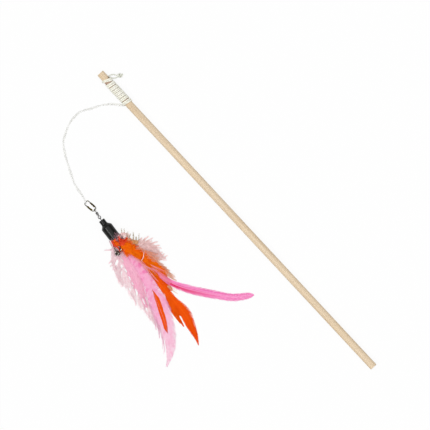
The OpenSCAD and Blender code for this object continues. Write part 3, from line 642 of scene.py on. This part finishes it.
class Feather(Shape):
    """One feather: its quill line by distance from its seat in the glue, its widths, its random draws
    and how it leaves out one in so many barbules."""

    def __init__(self, seed, slot, length, rows, shaft, thinned=100, holes=()):
        super().__init__()
        self.draw = np.random.default_rng(seed).uniform
        self.length, self.thinned, self.holes = length, thinned, holes
        seat = BORE_R * np.array(slot)
        line = [[x, *seat, QUILL_R, QUILL_R] for x in (QUILL_START, PLUG_END + 2 * QUILL_R, CAP_LEN)]
        line += [[CAP_LEN + a * length, c * length, h * CAP_R, r * length, l * length]
                 for a, c, r, l, h in table(rows, 1000)]
        self.table = curve_at(line, np.linspace(0, 1, 1500))
        self.along = distances(self.table[:, :3])
        self.tip = self.along[-1]
        self.side = unit(beside(unit(np.gradient(self.table[:, :3], axis=0))))
        self.shaft(*shaft)

    def read(self, s, columns):
        return np.stack([np.interp(s, self.along, column) for column in columns.T], -1)

    def across(self, s):
        return unit(self.read(s, self.side))

    def width(self, s, hand):
        return np.maximum(np.interp(s, self.along, self.table[:, 3 if hand > 0 else 4]), 0.05)

    def share(self, s):
        return (np.interp(s, self.along, self.table[:, 0]) - CAP_LEN) / self.length

    def where(self, share):
        """Distance at which the quill has gone this share of the length beyond the cap."""
        return np.interp(CAP_LEN + share * self.length, self.table[:, 0], self.along)

    def drift(self, places, step, size):
        """A smooth random amount along the quill."""
        knots = np.arange(0, places.max() + 2 * step, step)
        return size * np.interp(places, knots, self.draw(-1, 1, len(knots)))

    def barbs(self, hand, s0, reach, sweep, curl, steps, pull=0, foot=0, stop=1):
        """Middle lines of barbs from the quill to the vane's edge, sweeping towards the tip."""
        pull, foot, stop = (np.reshape(v, (-1, 1)) for v in (pull, foot, stop))
        u = np.linspace(0, 1, steps + 1) * stop
        room = np.maximum(self.tip - s0, 0.3)
        first = sweep * self.width(s0, hand)
        run = sweep * self.width(np.minimum(s0 + 0.7 * first, self.tip), hand) + 0.2
        run = room * (1 - np.exp(-run / room))
        s = np.clip(s0[:, None] + run[:, None] * u ** curl + pull * u ** 1.5, 0, self.tip)
        out = self.width(s, hand) * u * reach[:, None] + foot * (1 - u)
        points = self.read(s, self.table[:, :3]) + hand * out[..., None] * self.across(s)
        points[..., 2] -= 0.06 * out
        return points, u, s

    def own_tones(self, s0, s, u, hand, step, size, spread):
        own = np.clip(0.4 + self.drift(s0, step, size) + self.draw(-spread, spread, len(s0)), 0, 1)
        return tones(own[:, None], 0.5 + 0.5 * hand * u, self.share(s))

    def waved(self, points, u, wave, lift):
        """Barbs with a slow bend of their own."""
        n = len(points)
        phase = self.draw(0, 2 * pi, (2, n, 1))
        bends = self.draw(0.5, 1.5, (2, n, 1)) * 2 * pi
        size = wave * self.draw(0.2, 1, (n, 1)) * u
        off = beside(unit(np.gradient(points, axis=1)))
        points = points + (size * np.sin(phase[0] + bends[0] * u))[..., None] * off
        points[..., 2] += lift * u * (0.5 + 0.5 * np.sin(phase[1] + bends[1] * u)) * self.draw(0.2, 1, (n, 1))
        return points

    def shaft(self, end, thick):
        s = np.linspace(0, self.where(end), 160)
        share = s / s[-1]
        radius = QUILL_R * (1 - ease(share / 0.35)) + thick * ease(share / 0.35) * (1 - 0.75 * share)
        path = self.read(s, self.table[:, :3]) + [0, 0, 0.12]
        self.add(rope(path, radius, 50, depth=0, sides=8), slot=1)

    def vane(self, start, end, sweep=1.1, curl=1.25, feet=None, notch=None, splits=()):
        """Close flat barbs on both sides of the quill, with a notch and splits on the right side."""
        for hand in (1, -1):
            s0 = np.arange(self.where(start), self.where(end), BARB_STEP)
            s0 = s0 + self.draw(-0.25, 0.25, len(s0)) * BARB_STEP
            reach = 1 + self.drift(s0, 2.5, 0.05) + self.draw(-BARB_RAGGED, BARB_RAGGED * 0.4, len(s0))
            turn = sweep * (1 + self.drift(s0, 9, 0.06) + self.draw(-0.02, 0.02, len(s0)))
            foot = hand * np.interp(self.share(s0), *feet[hand]) * self.length if feet else 0 * s0
            points, u, s = self.barbs(hand, s0, reach, turn, curl, 40, foot=foot)
            stop = np.ones(len(s0))
            if notch:
                hit = inside(points, [CAP_LEN, 0] + self.length * np.array(notch))
                stop = np.where(hit.any(1), (hit.argmax(1) - self.draw(0, 3, len(s0))) / 40, 1)
            pull = 0 * s0
            for where, gap in splits if hand < 0 else ():
                near = (self.share(s[:, -1]) - where) * self.length
                pull += gap * np.sign(near) * np.exp(-(near / 4) ** 2)
            s0, reach, turn, pull, foot, stop = (v[stop > 0.1] for v in (s0, reach, turn, pull, foot, stop))
            points, u, s = self.barbs(hand, s0, reach, turn, curl, 8, pull, foot, stop)
            n = len(s0)
            points[..., 2] += self.draw(-0.03, 0.03, (n, 1)) + 0.08 * np.sin(points[..., 0] * 0.35 + hand)
            ahead = unit(np.gradient(points, axis=1))
            lean = np.abs(np.sum(ahead[..., :2] * self.across(s)[..., :2], -1))
            half = BARB_STEP * BARB_COVER / 2 * np.clip(lean, 0.35, 1) * (1 - 0.7 * u ** 3)
            half = np.clip(half, 0.03, None) * self.draw(0.85, 1.15, (n, 1))
            tone = self.own_tones(s0, s, u, hand, 1.8, 0.25, 0.2)
            made = strips(points, half, BARB_RIDGE + 0 * half, self.draw(-0.12, 0.12, (n, 1)))
            self.add(made, tone, smooth=False)

    def barbules(self, points, tone, count, length, width, slot):
        """Barbules at random places on both sides of barb lines."""
        n, m = points.shape[:2]
        row = np.arange(n)[:, None]
        t = self.draw(0.04, 1, (n, 2 * count)) * (m - 1)
        k = np.minimum(t.astype(int), m - 2)
        f = (t - k)[..., None]
        root = points[row, k] * (1 - f) + points[row, k + 1] * f
        way = unit(np.gradient(points, axis=1))[row, k]
        hand = np.where(np.arange(2 * count) % 2, 1.0, -1.0)[None, :, None]
        rise = self.draw(-0.3, 0.3, t.shape + (1,)) * np.array([0, 0, 1])
        ways = unit(way + hand * beside(way) * self.draw(0.4, 1.2, t.shape + (1,)) + rise)
        size = length * self.draw(0.5, 1.15, t.shape)
        tips = root + size[..., None] * ways
        keep = ~in_holes(root + 0.7 * size[..., None] * ways, self.holes)
        keep &= np.abs(beside_bells(tips) - tips).max(-1) == 0
        keep &= np.arange(1, 2 * count + 1) % self.thinned > 0
        self.add(needles(root[keep], ways[keep], size[keep], width), tone[row, k][keep], slot, smooth=False)

    def lay(self, points, u, tone, width=0.17, count=7, down=1.1, down_width=0.05, slot=0):
        """Barbs with their barbules, above the floor and the cap, beside the bells and round the gaps."""
        points = parted(points, self.holes)
        near_cap = np.where(points[..., 0] < CAP_LEN + 0.5, (CAP_R + 0.35) ** 2 - points[..., 1] ** 2, 0)
        low = np.where(near_cap > 0, np.sqrt(np.maximum(near_cap, 0)), REST_Z)
        points[..., 2] = np.maximum(points[..., 2], low)
        points = beside_bells(points)
        half = width * (1 - 0.7 * u) * self.draw(0.8, 1.2, (len(points), 1))
        self.add(strips(points, half, half * 0.4), tone, slot, smooth=False)
        self.barbules(points, tone, count, down, down_width, slot)

    def plume(self, start, end, spacing=0.26, tuft=4.0, sweep=(1.2, 2.2), reach=(0.72, 1.06), steps=8, lift=0.7):
        """Downy barbs that draw together in tufts towards the plume's edge."""
        for hand in (1, -1):
            first, last = self.where(start), self.where(end)
            s0 = np.arange(first, last, spacing)
            n = len(s0)
            s0 = s0 + self.draw(-0.5, 0.5, n) * spacing
            edges = first + np.cumsum(tuft * self.draw(0.5, 1.5, int(2 * (last - first) / tuft) + 4))
            group = np.searchsorted(edges, s0)
            centre = np.concatenate([[first], edges])[group] / 2 + edges[group] / 2
            turn = self.draw(*sweep, len(edges))[group] * self.draw(0.92, 1.08, n)
            far = self.draw(*reach, len(edges))[group] * self.draw(0.7, 1.05, n)
            points, u, s = self.barbs(hand, s0, far, turn, 1.2, steps, 0.5 * (centre - s0))
            points = self.waved(points, u, 0.5, lift)
            points[..., 2] += self.draw(-0.3, 0.5, (n, 1))
            tone = self.own_tones(s0, s, u, hand, 2, 0.2, 0.3)
            self.lay(points, u, tone, down=1.3, down_width=0.055)

    def locks(self, rows, height, steps=8, wave=0.4, lift=0.8, along=0.5, short=0.35, scatter=0.6, **hairs):
        """Tufts round given curves: half widths at root and tip, number of barbs, rise and route."""
        for near, far, rise, barbs, *route in table(rows, 10):
            n = (round(10 * barbs), 1)
            u = np.linspace(0, 1, steps + 1)
            begin = self.draw(0, 0.3, n)
            share = begin + (1 - short * self.draw(0, 1, n) ** 2 - begin) * u
            flat = curve_at(np.reshape(route, (-1, 2)), share)
            middle = np.concatenate([flat, np.interp(flat[..., :1], *height) + rise], -1)
            off = beside(unit(np.gradient(middle, axis=1)))
            side = self.draw(-1, 1, n)
            points = middle + (side * (near + (far - near) * share))[..., None] * off
            points = self.waved(points, u, wave, lift)
            points[..., 2] += self.draw(-scatter, scatter, n)
            own = np.clip(0.4 + 0.25 * side + self.draw(-0.3, 0.3, n), 0, 1)
            self.lay(points, u, tones(own, u, along), **hairs)

    def finish(self, name, node, *looks):
        self.piece(name, "lure", looks, node, node, flat_map=True)


# Quill lines beyond the cap, in thousandths: along, across, widths on both sides and height
PALE_ROWS = """
    65 -60 28 68 -870, 162 -90 57 110 -880, 343 -129 67 119 -880, 533 -148 67 90 -880, 724 -162 57 70 -880,
    895 -181 38 38 -880, 1000 -214 5 5 -880"""
MID_ROWS = """
    80 19 5 5 -560, 170 6 30 32 -660, 310 6 40 43 -660, 460 -18 57 57 -660, 600 -54 74 71 -660,
    740 -100 66 54 -660, 860 -160 50 34 -700, 925 -212 30 22 -770, 960 -250 12 12 -820, 985 -285 6 6 -860"""
HOT_ROWS = """
    70 44 4 4 -600, 150 60 4 4 -640, 275 74 6 6 -650, 350 85 14 14 -650, 450 118 22 21 -660,
    560 192 29 29 -860, 686 303 28 28 -870, 765 380 25 26 -870, 812 460 22 21 -870, 832 497 4 4 -870"""
WIDE_ROWS = """
    80 34 5 5 -860, 170 43 30 18 -880, 280 50 36 20 -880, 390 54 36 21 -880, 500 59 36 28 -880,
    600 64 28 40 -880, 690 68 44 60 -880, 760 68 47 67 -880, 840 57 34 50 -880, 930 32 20 18 -880,
    1000 7 2 2 -880"""
NARROW_ROWS = """
    100 -14 5 5 -900, 310 -12 6 6 -890, 540 -2 13 13 -800, 660 -30 23 23 -760, 780 -72 26 26 -760,
    890 -118 30 30 -780, 1000 -168 12 12 -880"""
ORANGE_ROWS = """
    60 55 85 85 580, 130 60 110 100 630, 250 80 130 120 480, 440 155 100 85 -120, 690 235 80 62 -360,
    875 310 55 47 -380, 1000 375 7 7 -400"""
DUSTY_ROWS = """
    160 160 80 50 -300, 340 290 170 80 -380, 560 420 210 130 -460, 760 510 140 100 -480, 940 570 10 10 -500"""
# Where the split mid pink vane leaves its quill line: along, and across as shares of its length
SPLIT_FEET = {1: ([0.44, 0.54, 0.65, 0.74, 0.79], [0, 0.028, 0.022, 0.012, 0]),
              -1: ([0.44, 0.5, 0.56, 0.64, 0.75, 0.79], [0, -0.006, -0.014, -0.018, -0.02, 0])}
NOTCH = [[0.741, 0.035], [0.735, 0.02], [0.824, 0.0075], [0.826, -0.02], [0.9, -0.02], [0.9, 0.0145],
         [0.827, 0.019]]

# Heights of loose down above its place along the lure
ORANGE_HEIGHT = ([20, 26, 34, 42, 54, 70, 90], [4.5, 3.4, 3.7, 2.9, -0.6, -2.1, -2.6])
DUSTY_HEIGHT = ([16, 26, 34, 43, 54, 64, 80], [2.5, 1.0, -0.4, -1.8, -2.3, -2.6, -3.2])
PALE_HEIGHT = ([16, 24, 32, 44, 140], [-3.0, -4.0, -4.8, -5.2, -5.3])

# Tufts, in tenths of a millimetre: half widths at root and tip, rise, the number of barbs, and
# the route along and across the lure
ORANGE_LOCKS = """
    22 18 8 80 338 5 366 46 400 80 436 110, 26 28 6 110 342 2 417 65 507 104 561 156,
    20 16 4 90 386 14 455 40 529 80 597 89, 18 14 4 60 338 18 348 44 366 66 396 90,
    24 22 3 100 422 62 520 121 586 151 661 171, 24 22 0 90 488 78 587 103 670 140 742 173,
    20 18 0 80 570 116 653 153 744 184 813 205, 18 12 0 60 628 139 715 173 802 207 864 226,
    18 12 -4 50 629 115 716 144 794 180 868 208, 20 10 -6 60 720 136 780 154 840 174 890 194,
    24 22 -16 70 560 76 660 88 750 94 840 98, 16 14 -16 44 600 94 690 110 770 122 850 126,
    12 5 6 22 460 84 494 112 536 126 570 150, 12 5 4 22 530 116 576 146 616 156 654 184,
    10 4 8 18 360 46 376 74 406 88 424 120, 14 18 8 40 340 -4 374 18 404 46 426 80,
    18 20 -14 40 396 16 420 6 444 -4 472 -10, 14 12 8 40 242 -24 270 -28 296 -22 324 -10"""
MOUTH_LOCKS = """
    14 12 6 40 234 -37 266 -46 296 -46 332 -42, 10 8 12 40 236 41 266 34 303 16 333 14,
    12 14 8 40 248 15 284 32 314 48 344 68, 10 8 8 34 236 -6 270 -10 300 -6 334 6,
    8 6 14 24 336 20 323 56 316 82 308 111, 8 6 12 24 346 6 314 22 291 26 269 37,
    8 6 14 24 350 12 337 40 324 63 311 81"""
BELL_LOCKS = """
    9 5 0 24 276 -30 316 -36 354 -43 396 -44, 8 5 0 18 286 -10 328 -6 360 4 390 10,
    7 4 0 12 300 -46 330 -50 356 -50 380 -56"""
MAUVE_LOCKS = """
    10 8 0 22 186 36 220 32 254 26 290 16, 10 8 0 18 200 6 230 4 260 -4 294 -14,
    8 8 0 16 200 52 234 56 264 62 300 68, 6 6 0 12 210 -32 240 -36 266 -34 294 -34"""
BROWN_LOCKS = """
    12 6 -10 20 330 65 309 91 297 110 281 129, 9 2 -14 16 370 125 358 144 334 166 302 190,
    7 2 -14 8 410 170 396 190 374 208 348 225, 8 4 -14 12 390 154 380 166 368 176 358 182,
    6 1.5 -20 8 267 79 240 87 216 101 192 115, 6 1.5 -24 8 279 96 260 110 236 122 213 131,
    6 2 -16 8 300 94 286 114 274 132 270 150, 6 2 -16 8 320 104 316 124 306 144 292 158"""
TAN_LOCKS = """
    16 16 -8 50 346 76 366 104 390 132 424 158, 12 12 -8 30 360 96 370 118 386 140 410 164,
    12 10 -8 26 318 62 322 84 330 106 342 124"""
PEACH_LOCKS = """
    22 14 16 14 496 124 536 160 576 190 610 214, 24 12 14 16 554 150 586 186 624 220 646 250,
    24 12 12 16 594 154 628 184 662 214 682 240, 18 10 10 12 646 164 674 186 698 208 715 224,
    12 10 12 12 448 96 466 124 488 146 520 170"""
DUSTY_LOCKS = """
    14 18 -10 40 246 46 266 52 296 60 340 70, 20 20 4 44 422 110 470 150 520 180 564 204,
    22 16 6 60 447 104 445 150 444 196 446 240, 24 18 6 60 461 111 470 160 482 214 492 266,
    26 20 4 60 480 123 505 175 534 224 562 264, 26 20 2 60 518 138 560 180 604 220 642 254,
    14 16 16 44 237 56 251 87 279 116 320 134, 12 10 22 30 227 26 250 52 289 76 330 94,
    16 18 0 50 332 103 382 133 418 172 436 206, 16 2.5 0 26 423 121 414 164 410 196 406 226,
    18 2.5 0 30 463 131 443 196 434 242 433 291, 18 2.5 0 30 476 148 466 210 468 260 476 316,
    16 2 3 24 466 158 486 204 486 250 496 288, 18 3 0 32 483 149 494 214 514 270 539 332,
    20 12 0 44 495 137 504 199 519 244 542 282, 18 4 0 32 504 155 534 226 557 280 579 324,
    18 3 0 32 514 145 539 216 567 266 616 322, 20 10 0 44 529 147 561 204 597 246 635 274,
    16 3 3 30 544 149 593 208 630 259 654 306, 16 3 0 30 560 152 613 204 658 244 690 296,
    14 2 0 24 583 157 645 208 701 251 712 330, 14 2 0 24 598 159 673 201 709 245 749 286,
    14 2 2 22 598 166 660 220 690 270 676 310, 14 3 -2 28 617 163 675 189 722 210 766 236"""
FRINGE_LOCKS = """
    8 6 6 12 680 200 730 210 780 220 830 228, 12 3 4 16 725 195 755 210 785 226 812 242,
    12 3 4 16 765 206 796 220 828 233 859 246, 14 3 2 20 800 206 840 218 884 234 926 260,
    14 3 2 20 835 206 875 218 910 230 941 253, 14 3 2 20 865 196 905 210 944 224 981 240"""
PALE_LOCKS = """
    26 18 4 70 340 -80 380 -120 420 -160 490 -194, 24 10 6 56 310 -70 340 -106 380 -146 430 -188,
    22 12 2 50 460 -130 520 -170 580 -206 640 -240, 20 14 2 44 400 -150 460 -186 520 -206 580 -236,
    24 24 8 70 270 -42 330 -46 390 -42 460 -50, 18 24 8 60 300 -10 350 -12 400 -10 460 -24,
    16 20 8 40 254 4 280 6 310 10 350 14,
    14 2.5 6 26 308 -76 312 -103 292 -134 268 -170, 14 3 4 26 379 -124 395 -160 402 -190 407 -216,
    14 3 2 26 417 -137 433 -169 440 -194 444 -221, 10 14 14 40 220 -59 254 -69 284 -74 328 -84,
    12 12 10 34 270 -50 300 -74 330 -96 370 -116, 14 5 0 30 512 -179 549 -206 595 -235 639 -256,
    14 4 0 30 598 -198 637 -215 669 -229 687 -249, 12 3 0 22 970 -190 1040 -206 1100 -216 1150 -236,
    12 3 0 22 760 -206 840 -228 890 -236 930 -256"""
BLUSH_LOCKS = """
    28 32 9 90 380 -36 500 -48 610 -74 720 -100, 30 28 7 80 480 -60 580 -86 700 -118 840 -146,
    26 20 6 100 640 -94 760 -124 880 -146 1020 -184, 24 20 9 100 560 -50 680 -76 800 -100 920 -130,
    22 20 11 60 540 -34 640 -50 750 -70 860 -96"""
WISP_LOCKS = """
    9 3 0 16 1100 -150 1160 -184 1210 -216 1260 -246, 9 3 0 16 1180 -176 1240 -206 1300 -236 1350 -268,
    7 2 0 12 1280 -200 1340 -234 1400 -264 1460 -310, 5 2 0 8 1340 -226 1410 -260 1470 -296 1510 -334"""
HAZE_LOCKS = """
    12 20 9 46 790 138 836 152 884 168 950 186, 10 16 8 36 810 128 860 136 910 148 966 170,
    8 12 8 24 700 116 750 128 800 140 860 156"""
BEIGE_LOCKS = """
    12 6 3 8 952 144 984 150 1016 160 1064 180, 12 6 3 8 977 136 1012 140 1048 148 1097 166,
    9 6 3 10 960 130 986 134 1010 140 1034 150"""
WIDE_LOCKS = """
    24 22 0 80 800 104 880 126 950 132 1030 122, 18 16 0 50 860 150 920 152 970 146 1036 134"""
LOBE_LOCKS = """
    30 5 0 100 1040 66 1170 42 1290 22 1409 7, 16 4 0 30 1040 28 1120 14 1210 4 1310 -2,
    16 12 0 40 1140 54 1190 52 1250 50 1310 58, 12 3 0 24 1120 28 1200 12 1280 2 1366 0"""
VEIL_LOCKS = """
    5 4 12 5 612 61 679 80 741 103 819 114, 5 6 12 5 650 76 702 98 752 130 797 165,
    6 5 10 6 715 70 770 72 824 75 873 81, 8 6 10 8 653 57 701 63 767 57 832 51,
    6 6 12 6 655 117 716 140 772 167 828 194, 20 14 8 22 500 48 570 60 640 68 720 72"""
FILAMENT_LOCKS = """
    2.5 1 32 4 592 65 578 106 546 142 506 176"""

# See-through gaps in the pale plume: middle, half length, half width and turn
PALE_HOLES = table("""
    451 -144 32 12 -700, 511 -122 16 12 -200, 571 -122 24 9 -100, 567 -169 16 5 -140, 663 -138 28 9 -180,
    724 -146 20 10 -180, 758 -205 18 6 -200, 816 -162 34 10 -160, 867 -160 16 5 -160, 941 -166 36 7 -120,
    1030 -194 26 6 -160""", 10)


def add_feathers():
    quill_pink = dyed("pink_quill", "f8cde0 fabed8 facdde e896ba", 0.2)
    quill_orange = dyed("orange_quill", "f47828 f87016 f05c0a d64604", 0.2)

    made = Feather(11, (-0.56, -0.6), 105, PALE_ROWS, (0.93, 0.25), 3, PALE_HOLES)
    look = dyed("pale_pink_down", "fcdce4 fee8ec fee0e6 f4c6d0", 0.55)
    blush = dyed("blush_down", "fcc6da fcc0d6 fcd0e2 f098be", 0.6)
    made.plume(0.05, 0.985, steps=12, lift=0.35, tuft=3.2)
    made.locks(PALE_LOCKS, PALE_HEIGHT, along=0.4, width=0.13, lift=0.4)
    made.locks(BLUSH_LOCKS, PALE_HEIGHT, slot=2, steps=12, width=0.2, lift=0.3, scatter=0.25)
    made.finish("pale_pink_marabou", "pale_pink_plume", look, quill_pink, blush)

    made = Feather(12, (0.17, -0.48), 140, MID_ROWS, (0.95, 0.12))
    look = dyed("mid_pink_barbs", "f7b0d0 f6b4d2 f7dae6 ee94bc", blotch="f07eb6")
    made.vane(0.12, 0.98, feet=SPLIT_FEET, splits=((0.7, 0.5), (0.84, 0.6)))
    made.locks(WISP_LOCKS, ([100, 150], [-4.6, -5.2]), along=0.85, width=0.14)
    made.finish("mid_pink_vane", "mid_pink_feather", look, quill_pink)

    made = Feather(13, (0.64, -0.45), 160, HOT_ROWS, (0.82, 0.25))
    look = dyed("hot_pink_barbs", "f896c4 fa9ace f8a8d6 ec64aa", streak="de0842", lines=0.7)
    beige = dyed("beige_down", "ecbe96 f0c4a0 f0c4a0 ce9264")
    veil = dyed("salmon_down", "faacb0 fcb2ba fcb2ba f48484")
    haze = dyed("rose_down", "ff9eb6 ff9ebc ff9ebc f6688c", 0.5)
    made.vane(0.26, 0.83, sweep=1.9, curl=1.1)
    made.locks(HAZE_LOCKS, ([70, 100], [-3.4, -4.2]), slot=4, width=0.12, wave=0.3, count=3)
    made.locks(BEIGE_LOCKS, ([80, 110], [-4.2, -4.8]), slot=2, width=0.07, count=4)
    made.locks(VEIL_LOCKS, ([40, 90], [-2.2, -3.0]), slot=3, width=0.12, count=2)
    made.finish("hot_pink_vane", "hot_pink_feather", look, quill_pink, beige, veil, haze)

    made = Feather(14, (0.38, -0.72), 140, WIDE_ROWS, (0.96, 0.3))
    look = dyed("wide_orange_barbs", "ec3e00 f45e00 e64800 e24200", lines=0.35)
    made.vane(0.1, 0.996, sweep=1.5, notch=NOTCH)
    made.locks(WIDE_LOCKS, ([80, 104], [-5.3, -5.6]), width=0.22, wave=0.2, lift=0.3, count=3)
    made.locks(LOBE_LOCKS, ([100, 142], [-5.6, -5.8]), width=0.24, wave=0.15, lift=0.3, count=3)
    made.finish("wide_orange_vane", "wide_orange_feather", look, quill_orange)

    made = Feather(15, (-0.2, -0.79), 111, NARROW_ROWS, (0.96, 0.25))
    look = dyed("narrow_orange_barbs", "ee4c04 f25c04 f25604 de3402")
    made.vane(0.35, 0.99, sweep=1.4)
    made.finish("narrow_orange_vane", "narrow_orange_feather", look, quill_orange)

    made = Feather(16, (0.3, 0.3), 64, ORANGE_ROWS, (0.93, 0.25), 7)
    look = dyed("orange_down", "ff5800 ff8006 ff700e f64200", 0.7)
    mouth = dyed("red_down", "ec3414 f4542c f4542c c40a0e", 0.8)
    mauve = dyed("mauve_down", "967680 84646c 84646c 462c34", 0.9)
    brown = dyed("brown_down", "c4b092 cebea4 cebea4 8c8064", 0.7)
    sand = dyed("sand_down", "e8a468 ecb47c ecb47c c87a42", 0.7)
    made.plume(0.03, 0.84, sweep=(1.0, 1.8), lift=1.2, spacing=0.34)
    made.locks(ORANGE_LOCKS, ORANGE_HEIGHT, width=0.13, wave=0.9, lift=1.0, down=1.7, down_width=0.06)
    made.locks(MOUTH_LOCKS, ORANGE_HEIGHT, slot=2, width=0.14, wave=0.7)
    made.locks(BELL_LOCKS, ([24, 40], [3.2, 1.8]), slot=2, width=0.13, wave=0.6, lift=0.4)
    made.locks(TAN_LOCKS, ORANGE_HEIGHT, slot=5, width=0.1, wave=0.9, down=1.6)
    made.locks(BROWN_LOCKS, ORANGE_HEIGHT, slot=3, width=0.08, wave=0.7, down=1.3, down_width=0.035)
    made.locks(MAUVE_LOCKS, ORANGE_HEIGHT, slot=4, width=0.12, wave=0.5)
    made.finish("orange_marabou", "orange_plume", look, quill_orange, mouth, brown, mauve, sand)

    made = Feather(17, (0.67, -0.04), 50, DUSTY_ROWS, (0.9, 0.25))
    look = dyed("dusty_pink_down", "f8d8d6 fcdedc fad6da e0b4ae", 0.6)
    tan = dyed("tan_down", "e8ac88 ecb296 ecb296 c48460")
    peach = dyed("peach_down", "f4a078 f2aa8a ecb49c ea703c", 0.7)
    made.plume(0.04, 0.92, sweep=(0.8, 1.8), reach=(0.4, 0.75), spacing=0.34)
    made.locks(DUSTY_LOCKS, DUSTY_HEIGHT, width=0.13, wave=0.7)
    made.locks(FRINGE_LOCKS, ([66, 100], [-1.4, -3.0]), width=0.1, wave=0.7, slot=2)
    made.locks(PEACH_LOCKS, ([40, 54, 72], [2.2, 0.4, -1.2]), width=0.1, wave=0.8, slot=3)
    made.locks(FILAMENT_LOCKS, ([40, 60], [-1.8, -1.8]), width=0.22, wave=0.1, count=2, short=0.05)
    made.finish("dusty_pink_marabou", "dusty_pink_plume", look, quill_pink, tan, peach)


add_feathers()


# Floor, light and view settings
FLOOR_SIZE, FLOOR_DROP, FLOOR_GLOW = 40.0, 0.00002, 0.92
BACKDROP_Z, BACKDROP_GLOW = -1.0, 0.99


def add_sheet(name, z, glow_share, kind):
    """A wide sheet with a white glow for the camera, glossy and transmission rays alone."""
    r = FLOOR_SIZE
    mesh = bpy.data.meshes.new(name)
    mesh.from_pydata([(-r, -r, z), (r, -r, z), (r, r, z), (-r, r, z)], [], [(0, 1, 2, 3)])
    look = Look(name, 0.5)
    look.tree.nodes.remove(look.shader)
    path = look.node("LightPath").outputs
    seen = path["Is Camera Ray"]
    for ray in ("Is Glossy Ray", "Is Transmission Ray"):
        seen = look.math("MAXIMUM", seen, path[ray])
    matt = look.node("Bsdf" + kind, {"Color": (0.9, 0.9, 0.9, 1)}).outputs[0]
    glow = look.node("Emission", {"Strength": 1.0}).outputs[0]
    blend = look.node("MixShader", {0: look.times(seen, glow_share), 1: matt, 2: glow})
    look.put(look.tree.nodes["Material Output"].inputs["Surface"], blend.outputs[0])
    mesh.materials.append(look.made)
    linked(name, mesh)


def add_sun(name, strength, softness, turn, tilt):
    sun = bpy.data.lights.new(name, "SUN")
    sun.energy, sun.angle = strength, radians(softness)
    linked(name, sun).matrix_world = (Matrix.Rotation(radians(turn), 4, "Z")
                                      @ Matrix.Rotation(radians(tilt), 4, "X"))


add_sheet("floor", FLOOR_Z * MM - FLOOR_DROP, FLOOR_GLOW, "Diffuse")
add_sheet("backdrop", BACKDROP_Z, BACKDROP_GLOW, "Transparent")
scene.world = bpy.data.worlds.new("studio")
scene.world.use_nodes = True
back = scene.world.node_tree.nodes["Background"].inputs
back["Color"].default_value = (1, 1, 1, 1)
back["Strength"].default_value = 0.38
add_sun("overhead", 1.6, 80, 0, 0)
add_sun("key", 0.5, 10, 172, 32)
scene.view_settings.view_transform = "Standard"
